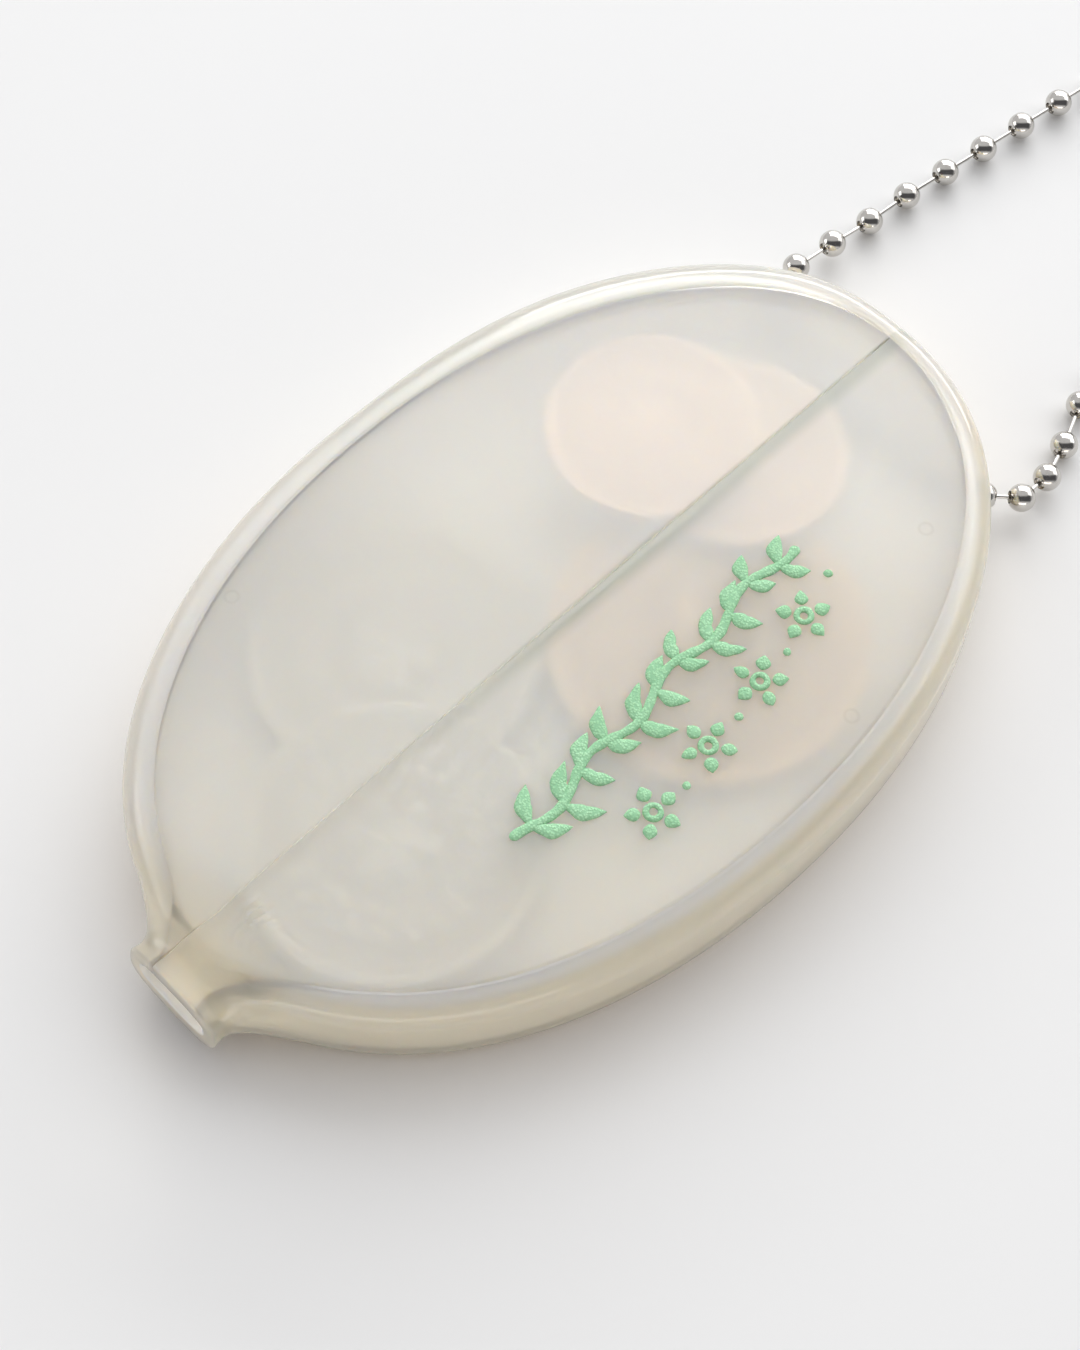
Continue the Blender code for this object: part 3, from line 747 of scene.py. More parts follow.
def floor_points(left_edge, right_edge, inner):
    shares = np.linspace(0, 1, FLOOR_ROWS)[1:-1]
    plan = [left_edge * (1 - share) + right_edge * share for share in shares]
    return settle_on_skin(np.stack(plan, axis=1), inner, True)


def fill_out_far_side(points):
    """Moves the left wall out near the chain, where it is fuller than an even oval."""
    points = points.copy()
    x, y = points[..., 0], points[..., 1]
    scale, slope_x, slope_y = superellipse(x / HALF_LENGTH, y / HALF_WIDTH, OVAL_POWER)
    turn = np.arctan2(y / HALF_WIDTH, x / HALF_LENGTH)
    amount = FAR_BULGE * smooth_step((scale - FAR_BULGE_START) / (1 - FAR_BULGE_START))
    amount = (amount * smooth_step(turn / FAR_BULGE_TIP_TURN)
              * smooth_step((math.pi / 2 - turn) / FAR_BULGE_SIDE_TURN))
    slope_x, slope_y = slope_x / HALF_LENGTH, slope_y / HALF_WIDTH
    length = np.maximum(np.hypot(slope_x, slope_y), 1e-9)
    points[..., 0] += amount * slope_x / length
    points[..., 1] = np.minimum(y + amount * slope_y / length, np.maximum(y, HALF_WIDTH - PROBE))
    return points


def make_case_skin(skin_materials):
    """The case below the moulded line: rim, wall, floor and neck."""
    faces = {}
    for inner in (False, True):
        halves = {}
        for name, skin in SIDES.items():
            halves[name] = np.concatenate((skin.crease_rows(inner), skin.section_rows(inner)), axis=1)
        floor = floor_points(halves["left"][:, -1], halves["right"][:, -1], inner)
        faces[inner] = np.concatenate((halves["left"], floor, halves["right"][:, ::-1]), axis=1)
        if not inner:
            faces[inner][..., 2] = np.maximum(faces[inner][..., 2], 0)
    columns = faces[False].shape[1] - 1
    rim_columns = columns - (FLOOR_ROWS - 1) >> 1
    slots = np.full(columns, RIM_SLOT)
    slots[rim_columns:columns - rim_columns] = FACE_SLOT
    outer, inner = (fill_out_far_side(slant_mouth(faces[which])) for which in (False, True))
    mesh = thick_sheet("case_skin", outer, inner, slots, INNER_SLOT, (JOINT_SLOT, JOINT_SLOT, RIM_SLOT))
    return new_object("case_skin", mesh, *skin_materials)


def cut_chain_holes(case):
    route = chain_route()
    for side in SIDES:
        before, centre = route[side]["threaded"][-2:]
        bm = bmesh.new()
        radius = CHAIN_HOLE / 2
        profile = ((0, -HOLE_REACH), (radius, -HOLE_REACH), (radius, HOLE_REACH), (0, HOLE_REACH))
        revolve(bm, profile, HOLE_SIDES, turned_along(centre, centre - before))
        cut_away(case, bm, "hole_cutter")


def cut_line(x):
    """The cut's own line; it leans to the left along the neck."""
    return CUT_LEAN * smooth_step((CUT_LEAN_START - x) / (CUT_LEAN_START - MOUTH_X))


def cut_slant(x):
    """How far the cut's lower edge lies to the right of its upper one."""
    chain_end = np.clip((HALF_LENGTH - CREASE_INSET - x) / CUT_SLANT_END_RUN, 0, 1)
    from_neck = np.clip((x - CUT_SLANT_START) / CUT_SLANT_RUN, 0, 1)
    share = CUT_SLANT_NECK_SHARE + (1 - CUT_SLANT_NECK_SHARE) * from_neck
    return CUT_SLANT * np.sqrt(chain_end) * share


def lip_plan(skin, cut_y):
    """Plan places of a lip's rows from the crease to the cut, and how far each is from the crease."""
    run = np.column_stack((skin.crease[:, 0], cut_y)) - skin.crease
    reach = np.maximum(np.linalg.norm(run, axis=1), 1e-9)
    first = np.minimum(CREASE_RUN / reach, 0.2)
    last = 1 - np.minimum(CUT_ROUNDING / reach, 0.3)
    shares = [first * share for share in CREASE_ROW_SHARES]
    shares += [first + (last - first) * row / LIP_ROWS for row in range(1, LIP_ROWS)]
    shares += [1 - (1 - last) * share for share in CUT_ROW_SHARES]
    shares = np.stack(shares, axis=1)
    return skin.crease[:, None] + run[:, None] * shares[..., None], shares * reach[:, None]


def edge_drop(distance, radius):
    """Drop of a rounded edge at a distance from it."""
    inside = np.clip(1 - distance / radius, 0, 1)
    return radius * (1 - np.sqrt(1 - inside ** 2))


def top_surface(side, plan):
    """Points on a lip's outer face, before its cut edge and its crease are let in."""
    points = SIDES[side].top_points(plan, False)
    points[..., 2] += crown_height(plan) + flow_mark_height(plan)
    return points


def slant_mouth(points):
    """Sets the upper edge of the mouth back from the lower one."""
    rise = np.clip((points[..., 2] - NECK_CENTRE_Z) / NECK_HEIGHT + 0.5, 0, 1.2)
    nearness = smooth_step((MOUTH_X + MOUTH_SLANT_REACH - points[..., 0]) / MOUTH_SLANT_REACH)
    slanted = points.copy()
    slanted[..., 0] += MOUTH_SLANT * rise * nearness
    return slanted


def lip_weights(points, side):
    """How far each point follows the lip: not at all at the crease and at the ends of the cut."""
    crease_y = SIDES[side].crease_y(points[:, 0])
    towards_cut = np.clip(1 - np.abs(points[:, 1]) / np.maximum(crease_y, 1e-6), 0, 1)
    half_cut = HALF_LENGTH - CREASE_INSET
    from_middle = np.clip(np.abs(points[:, 0]) / half_cut, 0, 1)
    return smooth_step(towards_cut) * np.cos(from_middle * math.pi / 2) ** 2


def bend_with_lip(piece, side):
    """Bakes a piece's placement into its mesh and works out how far each point would follow the lip; the
    weights are not used, so the piece does not blend.
    """
    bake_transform(piece)
    points = np.array([vert.co for vert in piece.data.vertices])
    weights = lip_weights(points, side).astype(np.float32)


def make_lip_skin(side, skin_materials):
    """One half of the top, from the moulded line to the cut."""
    skin = SIDES[side]
    x = skin.crease[:, 0]
    closing = np.clip((x[0] - x) / CUT_CLOSING_RUN, 0, 1)
    cut_y = cut_line(x) + skin.side * CUT_GAP / 2 * closing
    outer_plan, from_crease = lip_plan(skin, cut_y)
    outer = top_surface(side, outer_plan)
    outer[..., 2] -= groove_depth(from_crease, outer_plan[..., 0])
    from_cut = np.abs(outer_plan[..., 1] - cut_y[:, None])
    outer[..., 2] -= edge_drop(from_cut, CUT_ROUNDING)
    if side == "left":
        standing = np.sqrt(closing) * smooth_step((x - CUT_LEAN_START) / LEFT_EDGE_START_RUN)
        outer[..., 2] += LEFT_EDGE_RISE * np.exp(-from_cut / LEFT_EDGE_REACH) * standing[:, None]
    inner_plan, _ = lip_plan(skin, cut_y - cut_slant(x))
    inner = skin.top_points(inner_plan, True)
    inner[..., 2] += crown_height(inner_plan)
    mesh = thick_sheet(side + "_lip_skin", slant_mouth(outer), slant_mouth(inner), FACE_SLOT,
                       FACE_SLOT, (JOINT_SLOT, FACE_SLOT, RIM_SLOT))
    return new_object(side + "_lip_skin", mesh, *skin_materials)


# Materials

def node_material(name):
    material = bpy.data.materials.new(name)
    material.use_nodes = True
    tree = material.node_tree
    return material, tree, tree.nodes["Principled BSDF"]


def set_values(node, **values):
    """Gives plain values to a node's sockets, by their names."""
    for name, value in values.items():
        node.inputs[name.replace("_", " ")].default_value = value


def plug(tree, socket, value):
    """Sets a socket to a value, or links an output to it."""
    if isinstance(value, bpy.types.NodeSocket):
        tree.links.new(value, socket)
    else:
        socket.default_value = value


def calculate(tree, operation, *values, clamp=False):
    node = tree.nodes.new("ShaderNodeMath")
    node.operation = operation
    node.use_clamp = clamp
    for socket, value in zip(node.inputs, values):
        plug(tree, socket, value)
    return node.outputs[0]


def times(tree, first, second):
    return calculate(tree, "MULTIPLY", first, second)


def blend_colours(tree, share, first, second):
    node = tree.nodes.new("ShaderNodeMix")
    node.data_type = "RGBA"
    for index, value in ((0, share), (6, first), (7, second)):
        plug(tree, node.inputs[index], value)
    return node.outputs[2]


def spread(tree, value, low, high, to_low=0.0, to_high=1.0):
    node = tree.nodes.new("ShaderNodeMapRange")
    node.interpolation_type = "SMOOTHSTEP"
    for socket, setting in zip(node.inputs, (value, low, high, to_low, to_high)):
        plug(tree, socket, setting)
    return node.outputs[0]


def noise(tree, place, scale, detail=2.0, roughness=0.5):
    node = tree.nodes.new("ShaderNodeTexNoise")
    for name, value in (("Vector", place), ("Scale", scale), ("Detail", detail), ("Roughness", roughness)):
        plug(tree, node.inputs[name], value)
    return node.outputs[0]


def stretched(tree, place, stretch, turn=(0, 0, 0)):
    node = tree.nodes.new("ShaderNodeMapping")
    plug(tree, node.inputs["Vector"], place)
    set_values(node, Scale=stretch, Rotation=turn)
    return node.outputs[0]


def piece_place(tree):
    return tree.nodes.new("ShaderNodeTexCoord").outputs["Object"]


def dress(tree, shader, colour, roughness, height, strength, distance):
    """Links a surface's colour, roughness and bump to its shader."""
    tree.links.new(colour, shader.inputs["Base Color"])
    tree.links.new(roughness, shader.inputs["Roughness"])
    node = tree.nodes.new("ShaderNodeBump")
    for name, value in (("Strength", strength), ("Distance", distance), ("Height", height)):
        plug(tree, node.inputs[name], value)
    tree.links.new(node.outputs[0], shader.inputs["Normal"])


def make_group(name, **inputs):
    """A shared effect as a node group that gives a colour, a roughness and a height for a bump."""
    group = bpy.data.node_groups.new(name, "ShaderNodeTree")
    outputs = {"Colour": "Color", "Roughness": "Float", "Height": "Float"}
    for in_out, sockets in (("INPUT", inputs), ("OUTPUT", outputs)):
        for socket, kind in sockets.items():
            group.interface.new_socket(name=socket.replace("_", " "), in_out=in_out,
                                       socket_type="NodeSocket" + kind)
    return group, group.nodes.new("NodeGroupInput").outputs, group.nodes.new("NodeGroupOutput").inputs


def use_group(tree, group, **values):
    node = tree.nodes.new("ShaderNodeGroup")
    node.node_tree = group
    for name, value in values.items():
        plug(tree, node.inputs[name.replace("_", " ")], value)
    return node.outputs


def make_cloud_and_grain():
    """Soft clouds in a surface's colour, and the fine grain of its skin."""
    group, given, result = make_group(
        "cloud_and_grain", Cloud_Scale="Float", Grain_Scale="Float", Light_Tint="Color", Deep_Tint="Color",
        Roughness="Float", Roughness_Change="Float")
    place = piece_place(group)
    cloud = spread(group, noise(group, place, given["Cloud Scale"], 3.0), 0.34, 0.66)
    grain = noise(group, place, given["Grain Scale"], 3.0, 0.6)
    colour = blend_colours(group, cloud, given["Light Tint"], given["Deep Tint"])
    group.links.new(colour, result["Colour"])
    mottle = calculate(group, "ADD", times(group, cloud, 0.6), times(group, grain, 0.4))
    change = times(group, calculate(group, "SUBTRACT", mottle, 0.5), given["Roughness Change"])
    group.links.new(calculate(group, "ADD", change, given["Roughness"]), result["Roughness"])
    group.links.new(grain, result["Height"])
    return group


def make_metal_wear():
    """Tarnish in patches and in low places, and fine scratches in two directions."""
    group, given, result = make_group(
        "metal_wear", Clean="Color", Tarnish="Color", Patch_Scale="Float", Tarnish_Amount="Float",
        Low_Places="Float", Roughness="Float")
    place = piece_place(group)
    patches = spread(group, noise(group, place, given["Patch Scale"], 4.0, 0.6), 0.38, 0.72)
    along = stretched(group, place, (400, 9000, 4000))
    aslant = stretched(group, place, (7000, 500, 4000), (0, 0, 0.5))
    scratches = calculate(group, "ADD", spread(group, noise(group, along, 1.0), 0.58, 0.72),
                          spread(group, noise(group, aslant, 1.0), 0.6, 0.74))
    dirt = calculate(group, "MAXIMUM", times(group, patches, given["Tarnish Amount"]),
                     given["Low Places"], clamp=True)
    group.links.new(blend_colours(group, dirt, given["Clean"], given["Tarnish"]), result["Colour"])
    rough = calculate(group, "ADD", given["Roughness"], times(group, dirt, 0.22))
    rough = calculate(group, "ADD", rough, times(group, scratches, 0.08), clamp=True)
    group.links.new(rough, result["Roughness"])
    group.links.new(scratches, result["Height"])
    return group


def moulding_rings(tree, place):
    """Faint round marks in the vinyl's face, at their places on the case."""
    total = 0.0
    for centre in MOULDING_RING_CENTRES:
        node = tree.nodes.new("ShaderNodeVectorMath")
        node.operation = "DISTANCE"
        tree.links.new(place, node.inputs[0])
        node.inputs[1].default_value = centre
        from_ring = calculate(tree, "SUBTRACT", node.outputs["Value"], MOULDING_RING_RADIUS)
        away = calculate(tree, "ABSOLUTE", from_ring)
        total = calculate(tree, "ADD", total, spread(tree, away, MOULDING_RING_BREADTH, 0.0))
    return total


def make_vinyl(name, cloud_and_grain):
    """Milky vinyl: clear and scattering at once, under a thin gloss, with painted warm glow on the thick wall
    and neck and painted shade beside the cut and on the far rim.
    """
    transmission, roughness, reach, light_tint, deep_tint, glow_tint, far_shade = VINYL_FINISHES[name]
    material, tree, shader = node_material(name)
    place = piece_place(tree)
    skin = use_group(tree, cloud_and_grain, Cloud_Scale=85.0, Grain_Scale=1500.0,
                     Light_Tint=(*light_tint, 1), Deep_Tint=(*deep_tint, 1),
                     Roughness=roughness, Roughness_Change=0.04)
    parted = tree.nodes.new("ShaderNodeSeparateXYZ")
    tree.links.new(place, parted.inputs[0])
    along, across, rise = parted.outputs
    # Painted warm glow, standing in for light shining through the thick wall, the near rim and the neck
    painted_wall_glow = calculate(tree, "MAXIMUM", spread(tree, rise, *WALL_RISE),
                         times(tree, spread(tree, rise, *NEAR_RIM_RISE),
                               spread(tree, across, *NEAR_RIM_ACROSS)))
    painted_thick_glow = calculate(tree, "MAXIMUM", painted_wall_glow, spread(tree, along, *NECK_ALONG))
    colour = blend_colours(tree, painted_thick_glow, skin["Colour"], (*glow_tint, 1))
    # Painted shade on the right lip beside the cut, where the slanted cut face shows through
    painted_cut_shade = times(tree, spread(tree, across, *CUT_BAND_FAR_EDGE),
                       spread(tree, across, *CUT_BAND_NEAR_EDGE))
    painted_cut_shade = times(tree, painted_cut_shade, spread(tree, along, *CUT_BAND_ALONG))
    painted_cut_shade = times(tree, painted_cut_shade, spread(tree, rise, *CUT_BAND_RISE))
    colour = blend_colours(tree, painted_cut_shade, colour, CUT_SHADE_TINT)
    # Painted shade on the far rim near the chain
    if far_shade:
        far_rim_shade = times(tree, spread(tree, across, *FAR_RIM_ACROSS),
                        spread(tree, along, *FAR_RIM_ALONG, 0.0, far_shade))
        colour = blend_colours(tree, far_rim_shade, colour, FAR_RIM_SHADE_TINT)
    rings = moulding_rings(tree, place)
    colour = blend_colours(tree, times(tree, rings, 0.25), colour, MOULDING_RING_TINT)
    height = calculate(tree, "ADD", skin["Height"], times(tree, rings, 1.5))
    dress(tree, shader, colour, skin["Roughness"], height, 0.22, 0.03 * MM)
    set_values(shader, IOR=1.45, Transmission_Weight=transmission, Coat_Weight=0.8, Coat_Roughness=0.12,
               Subsurface_Weight=1.0, Subsurface_Radius=reach, Subsurface_Scale=MM)
    absorb = tree.nodes.new("ShaderNodeVolumeAbsorption")
    set_values(absorb, Color=DEPTH_TINT, Density=DEPTH_DENSITY)
    output = tree.nodes["Material Output"]
    tree.links.new(absorb.outputs[0], output.inputs["Volume"])
    # Shadow rays pass, so that the floor beneath stays light
    clear = tree.nodes.new("ShaderNodeBsdfTransparent")
    set_values(clear, Color=SHADOW_TINT)
    mix = tree.nodes.new("ShaderNodeMixShader")
    is_shadow = tree.nodes.new("ShaderNodeLightPath").outputs["Is Shadow Ray"]
    for index, source in enumerate((is_shadow, shader.outputs[0], clear.outputs[0])):
        tree.links.new(source, mix.inputs[index])
    tree.links.new(mix.outputs[0], output.inputs["Surface"])
    return material


def make_joint():
    """The unseen face where a lip runs on into the case as one moulding."""
    material, _, shader = node_material("vinyl_run_on")
    set_values(shader, Base_Color=(1, 1, 1, 1), Roughness=0.0, IOR=1.0, Transmission_Weight=1.0)
    return material


def make_metal(name, metal_wear):
    """A worn metal; a struck one is darker in the low places of its relief."""
    clean, tarnish, roughness, patch_scale, tarnish_amount, struck = METALS[name]
    material, tree, shader = node_material(name)
    low_places = 0.0
    if struck:
        relief = tree.nodes.new("ShaderNodeAttribute")
        relief.attribute_name = RELIEF_NAME
        low_places = spread(tree, relief.outputs["Fac"], 0.85, 0.05, 0.0, 0.55)
    worn = use_group(tree, metal_wear, Clean=(*clean, 1), Tarnish=(*tarnish, 1), Patch_Scale=patch_scale,
                     Tarnish_Amount=tarnish_amount, Low_Places=low_places, Roughness=roughness)
    dress(tree, shader, worn["Colour"], worn["Roughness"], worn["Height"], 0.25, 0.004 * MM)
    set_values(shader, Metallic=1.0)
    return material


def make_print_ink(cloud_and_grain):
    """Raised green ink with a pebbled face and painted shade in the gaps between its pebbles."""
    material, tree, shader = node_material("raised_green_ink")
    skin = use_group(tree, cloud_and_grain, Cloud_Scale=700.0, Grain_Scale=9000.0,
                     Light_Tint=(0.46, 0.80, 0.49, 1), Deep_Tint=(0.39, 0.72, 0.42, 1),
                     Roughness=0.55, Roughness_Change=0.15)
    pebbles = tree.nodes.new("ShaderNodeTexVoronoi")
    pebbles.feature = "F1"
    tree.links.new(piece_place(tree), pebbles.inputs["Vector"])
    set_values(pebbles, Scale=INK_PEBBLE_SCALE)
    crown = spread(tree, pebbles.outputs["Distance"], 0.68, 0.2)
    # Painted shade: the gaps between the pebbles are a darker green
    gap_shade = calculate(tree, "SUBTRACT", 1.0, crown)
    colour = blend_colours(tree, times(tree, gap_shade, 0.6), skin["Colour"], (0.22, 0.52, 0.28, 1))
    height = calculate(tree, "ADD", crown, times(tree, skin["Height"], 0.2))
    dress(tree, shader, colour, skin["Roughness"], height, 0.6, 0.06 * MM)
    return material


# Ball chain

def towards(turn):
    return Vector((math.cos(turn), math.sin(turn), 0))


def walk(start, rows):
    """Ball places after start; each row gives a heading and a share of the pitch."""
    points = [start]
    for heading, share in rows:
        points.append(points[-1] + PITCH * share * towards(math.radians(heading)))
    return points[1:]


def chain_route():
    """Places of the balls, by side and stretch, and along the bight."""
    threaded_z = WALL + FLOOR_CLEARANCE + BALL_RADIUS
    table_z = BALL_RADIUS + CHAIN_LIFT
    route = {}
    for side in ("left", "right"):
        threaded = [Vector((HALF_LENGTH * along, HALF_WIDTH * across, threaded_z))
                    for along, across in THREADED_SHARES[side]]
        lead = walk(threaded[-1], LEAD_SHARES[side])
        for index, place in enumerate(lead):
            place.z = max(table_z, threaded_z - (threaded_z - table_z) * (index + 1) / DROP_BALLS)
        swing = walk(lead[-1], ((SWING_HEADING, 1.0),) * SWING_STEPS)
        route[side] = {"threaded": threaded, "lead": lead, "swing": swing}
    forward = towards(math.radians(SWING_HEADING))
    first = route["left"]["swing"][-1] + PITCH * forward
    last = route["right"]["swing"][-1] + (PITCH + CONNECTOR_SLACK) * forward
    route["bight"] = [first] + turn_between(first, last) + [last]
    return route


def turn_between(first, last):
    """Ball places on an even bend between two balls."""
    chord = last - first
    turn = math.radians(BIGHT_TURN)
    step = chord.length * math.sin(abs(turn) / 2) / math.sin(BIGHT_STEPS * abs(turn) / 2)
    heading = math.atan2(chord.y, chord.x) - (BIGHT_STEPS - 1) * turn / 2
    points = [first]
    for _ in range(BIGHT_STEPS - 1):
        points.append(points[-1] + step * towards(heading))
        heading += turn
    return points[1:]


def chain_stations(route):
    """Each ball's node, body and place, with its neighbours towards the case and away from it."""
    for side in ("right", "left"):
        stations = []
        for stretch in ("threaded", "lead", "swing"):
            for number, place in enumerate(route[side][stretch], start=1):
                body = f"{side}_swing_{number}" if stretch == "swing" else "case"
                stations.append((f"chain_{side}_{stretch}_{number}", body, place))
        if side == "left":
            for number, place in enumerate(route["bight"], start=1):
                stations.append((f"chain_bight_{number}", "bight", place))
            before = route["right"]["threaded"][0]
            last = route["right"]["swing"][-1]
        else:
            before = None
            last = route["bight"][-1]
        following = [place for _, _, place in stations[1:]] + [last]
        for (node, body, place), after in zip(stations, following):
            yield node, body, place, before, after
            before = place


def ball_profile():
    """Outer and inner arcs of a hollow ball with a hole at each end and rolled hole edges."""
    inner_radius = BALL_RADIUS - BALL_WALL
    arcs = []
    for radius in (BALL_RADIUS, inner_radius):
        edge = math.asin(BALL_HOLE / 2 / radius)
        arcs.append([(radius * math.sin(angle), radius * math.cos(angle))
                     for angle in np.linspace(edge, math.pi - edge, BALL_SPANS)])
    middle = (BALL_RADIUS + inner_radius) / 2
    edge = math.asin(BALL_HOLE / 2 / middle)
    lip = (middle * math.sin(edge) - HOLE_ROLL, middle * math.cos(edge))
    return arcs[0] + [(lip[0], -lip[1])] + arcs[1][::-1] + [lip]


def add_link(bm, reach, matrix):
    """The wire link along +Z: from its own ball's far hole to its head inside the next ball."""
    head = BALL_HOLE / 2 + HEAD_OVERLAP
    wire = WIRE_DIAMETER / 2
    root = BALL_RADIUS - BALL_WALL - HEAD_THICKNESS * ROOT_HEAD_SHARE
    chamber = BALL_RADIUS - BALL_WALL - HEAD_CLEARANCE
    shoulder = reach - math.sqrt(chamber ** 2 - head ** 2)
    tip = shoulder + HEAD_THICKNESS
    rounding = HEAD_THICKNESS * HEAD_ROUNDING_SHARE
    flare = wire * WIRE_FLARE
    profile = [
        (0, root - HEAD_THICKNESS), (head - rounding, root - HEAD_THICKNESS),
        (head, root - HEAD_THICKNESS + rounding), (head, root - rounding), (head - rounding, root),
        (flare, root), (wire, root + rounding), (wire, shoulder - rounding), (flare, shoulder),
        (head - rounding, shoulder), (head, shoulder + rounding), (head, tip - rounding),
        (head - rounding, tip), (0, tip)]
    revolve(bm, profile, WIRE_SIDES, matrix)


def make_chain(bright, shaded_metal):
    """Every ball with its wire link; the balls inside the case take a darkened copy of the nickel as painted
    shade.
    """
    for node, body, place, before, after in chain_stations(chain_route()):
        # Painted shade: the balls inside the case take the darkened nickel
        nickel = shaded_metal if node.endswith(SHADED_BALLS) else bright
        bm = bmesh.new()
        direction = after - place if before is None else before - place
        revolve(bm, ball_profile(), BALL_SIDES, turned_along(place, direction), closed=True)
        if before is not None:
            add_link(bm, direction.length, turned_along(place, direction))
        name = node.replace("chain_", "bright_")
        ball = new_object(name, finish_mesh(bm, name), nickel)
        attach(ball, body)
        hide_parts(node)


def clasp_rings(half_length, half_width, top):
    """Rings up a pinched trough, from its open edge to the middle of its roof."""
    turns = np.linspace(0, 2 * math.pi, CLASP_SIDES, endpoint=False)
    unit = np.stack([np.sign(wave) * np.abs(wave) ** (2 / CLASP_POWER)
                     for wave in (np.cos(turns), np.sin(turns))], axis=1)
    bottom = -BALL_RADIUS * CLASP_SKIRT_SHARE
    rows = [(0, height, 1) for height in np.linspace(bottom, top - CLASP_ROUNDING, CLASP_WALL_ROWS)]
    for turn in np.linspace(0, math.pi / 2, CLASP_ROUNDING_ROWS + 1)[1:]:
        rows.append((CLASP_ROUNDING * (1 - math.cos(turn)), top - CLASP_ROUNDING * (1 - math.sin(turn)), 1))
    rows += [(CLASP_ROUNDING, top, share) for share in CLASP_ROOF_SHARES]
    rings = []
    for inset, height, share in rows:
        x = (half_length - inset) * unit[:, 0] * share
        waist = 1 - CLASP_PINCH * np.exp(-(x / CLASP_PINCH_RUN) ** 2)
        y = (half_width - inset) * unit[:, 1] * share * waist
        away = np.hypot(np.abs(x) - PITCH / 2, y) / CLASP_DOME_RADIUS
        near_roof = smooth_step((height - top + CLASP_ROUNDING) / CLASP_ROUNDING)
        rings.append(np.column_stack((x, y, height + CLASP_DOME * smooth_step(1 - away) * near_roof)))
    return rings


def make_clasp(nickel):
    """The folded sheet-metal clasp that closes the chain."""
    route = chain_route()
    held, own = route["right"]["swing"][-1], route["bight"][-1]
    run = own - held
    matrix = Matrix.Translation((held + own) / 2) @ Matrix.Rotation(math.atan2(run.y, run.x), 4, "Z")
    reach = BALL_RADIUS + CONNECTOR_CLEARANCE
    half_length = (PITCH + CONNECTOR_SLACK) / 2 + reach
    sheet = CONNECTOR_SHEET
    outer = clasp_rings(half_length + sheet, reach + sheet, reach + sheet)
    inner = clasp_rings(half_length, reach, reach)
    edge = (outer[0] + inner[0]) / 2 - np.array((0, 0, CLASP_EDGE_ROLL))
    bm = bmesh.new()
    add_rings(bm, inner[::-1] + [edge] + outer, first_cap=(0, 0, reach), last_cap=(0, 0, reach + sheet))
    clasp = new_object("folded_clasp", finish_mesh(bm, "folded_clasp"), nickel)
    slot = BALL_RADIUS - CONNECTOR_HOLD / 2
    end = half_length + 2 * sheet
    below = -2 * BALL_RADIUS
    for low, high in (((-end, -slot, below), (0, slot, WIRE_DIAMETER)),
                      ((0, -slot, below), (end, slot, BALL_RADIUS * CONNECTOR_SWING_SHARE))):
        bm = bmesh.new()
        add_box(bm, low, high)
        cut_away(clasp, bm, "slot_cutter")
    clasp.data.transform(matrix)
    clasp.data.set_sharp_from_angle(angle=math.radians(40))
    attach(clasp, "connector")
    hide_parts("chain_connector")


# Coins

def dome(across, along):
    """Height of a unit dome, 0 outside it."""
    return np.sqrt(np.clip(1 - across ** 2 - along ** 2, 0, 1))


def repeated_arc(turns, count):
    """Turn from the middle of the nearest of count even parts of the circle."""
    return ((turns * count / (2 * math.pi) + 0.5) % 1 - 0.5) * 2 * math.pi / count


def coin_relief(across, turns, radius, beads):
    """Height of a struck face as a share of its rim's: rim, beads, a wreath of leaves and a rosette."""
    unit = radius / 12
    r, t = np.meshgrid(across, turns, indexing="ij")
    height = smooth_step((r - radius + COIN_RIM_WIDTH + COIN_RIM_SLOPE) / COIN_RIM_SLOPE)
    bead_ring = radius - COIN_BEAD_INSET
    bead_arc = repeated_arc(t, beads) * bead_ring
    height = np.maximum(height, 0.7 * dome(bead_arc / COIN_BEAD_RADIUS, (r - bead_ring) / COIN_BEAD_RADIUS))
    mirrored = np.sign(np.sin(t) + 1e-9)
    half_leaf, half_breadth, vein_breadth = COIN_LEAF
    for ring, lean in COIN_WREATHS:
        arc = repeated_arc(t, COIN_LEAVES) * r
        turn = lean * mirrored
        along = arc * np.cos(turn) + (r - ring * unit) * np.sin(turn)
        aside = -arc * np.sin(turn) + (r - ring * unit) * np.cos(turn)
        leaf = dome(along / (half_leaf * unit), aside / (half_breadth * unit))
        vein = 0.25 * np.exp(-(aside / (vein_breadth * unit)) ** 2)
        height = np.maximum(height, 0.85 * leaf * (1 - vein))
    line_ring, line_breadth = COIN_LINE
    height = np.maximum(height, 0.45 * dome((r - line_ring * unit) / (line_breadth * unit), 0 * r))
    wave = np.abs(np.cos(3 * t))
    least, swing, edge = COIN_PETALS
    petals = smooth_step(((least + swing * wave) * unit - r) / (edge * unit)) * (0.35 + 0.5 * wave)
    button = dome(r / (COIN_BUTTON * unit), 0 * r)
    return np.maximum(height, np.maximum(petals, 0.9 * button))


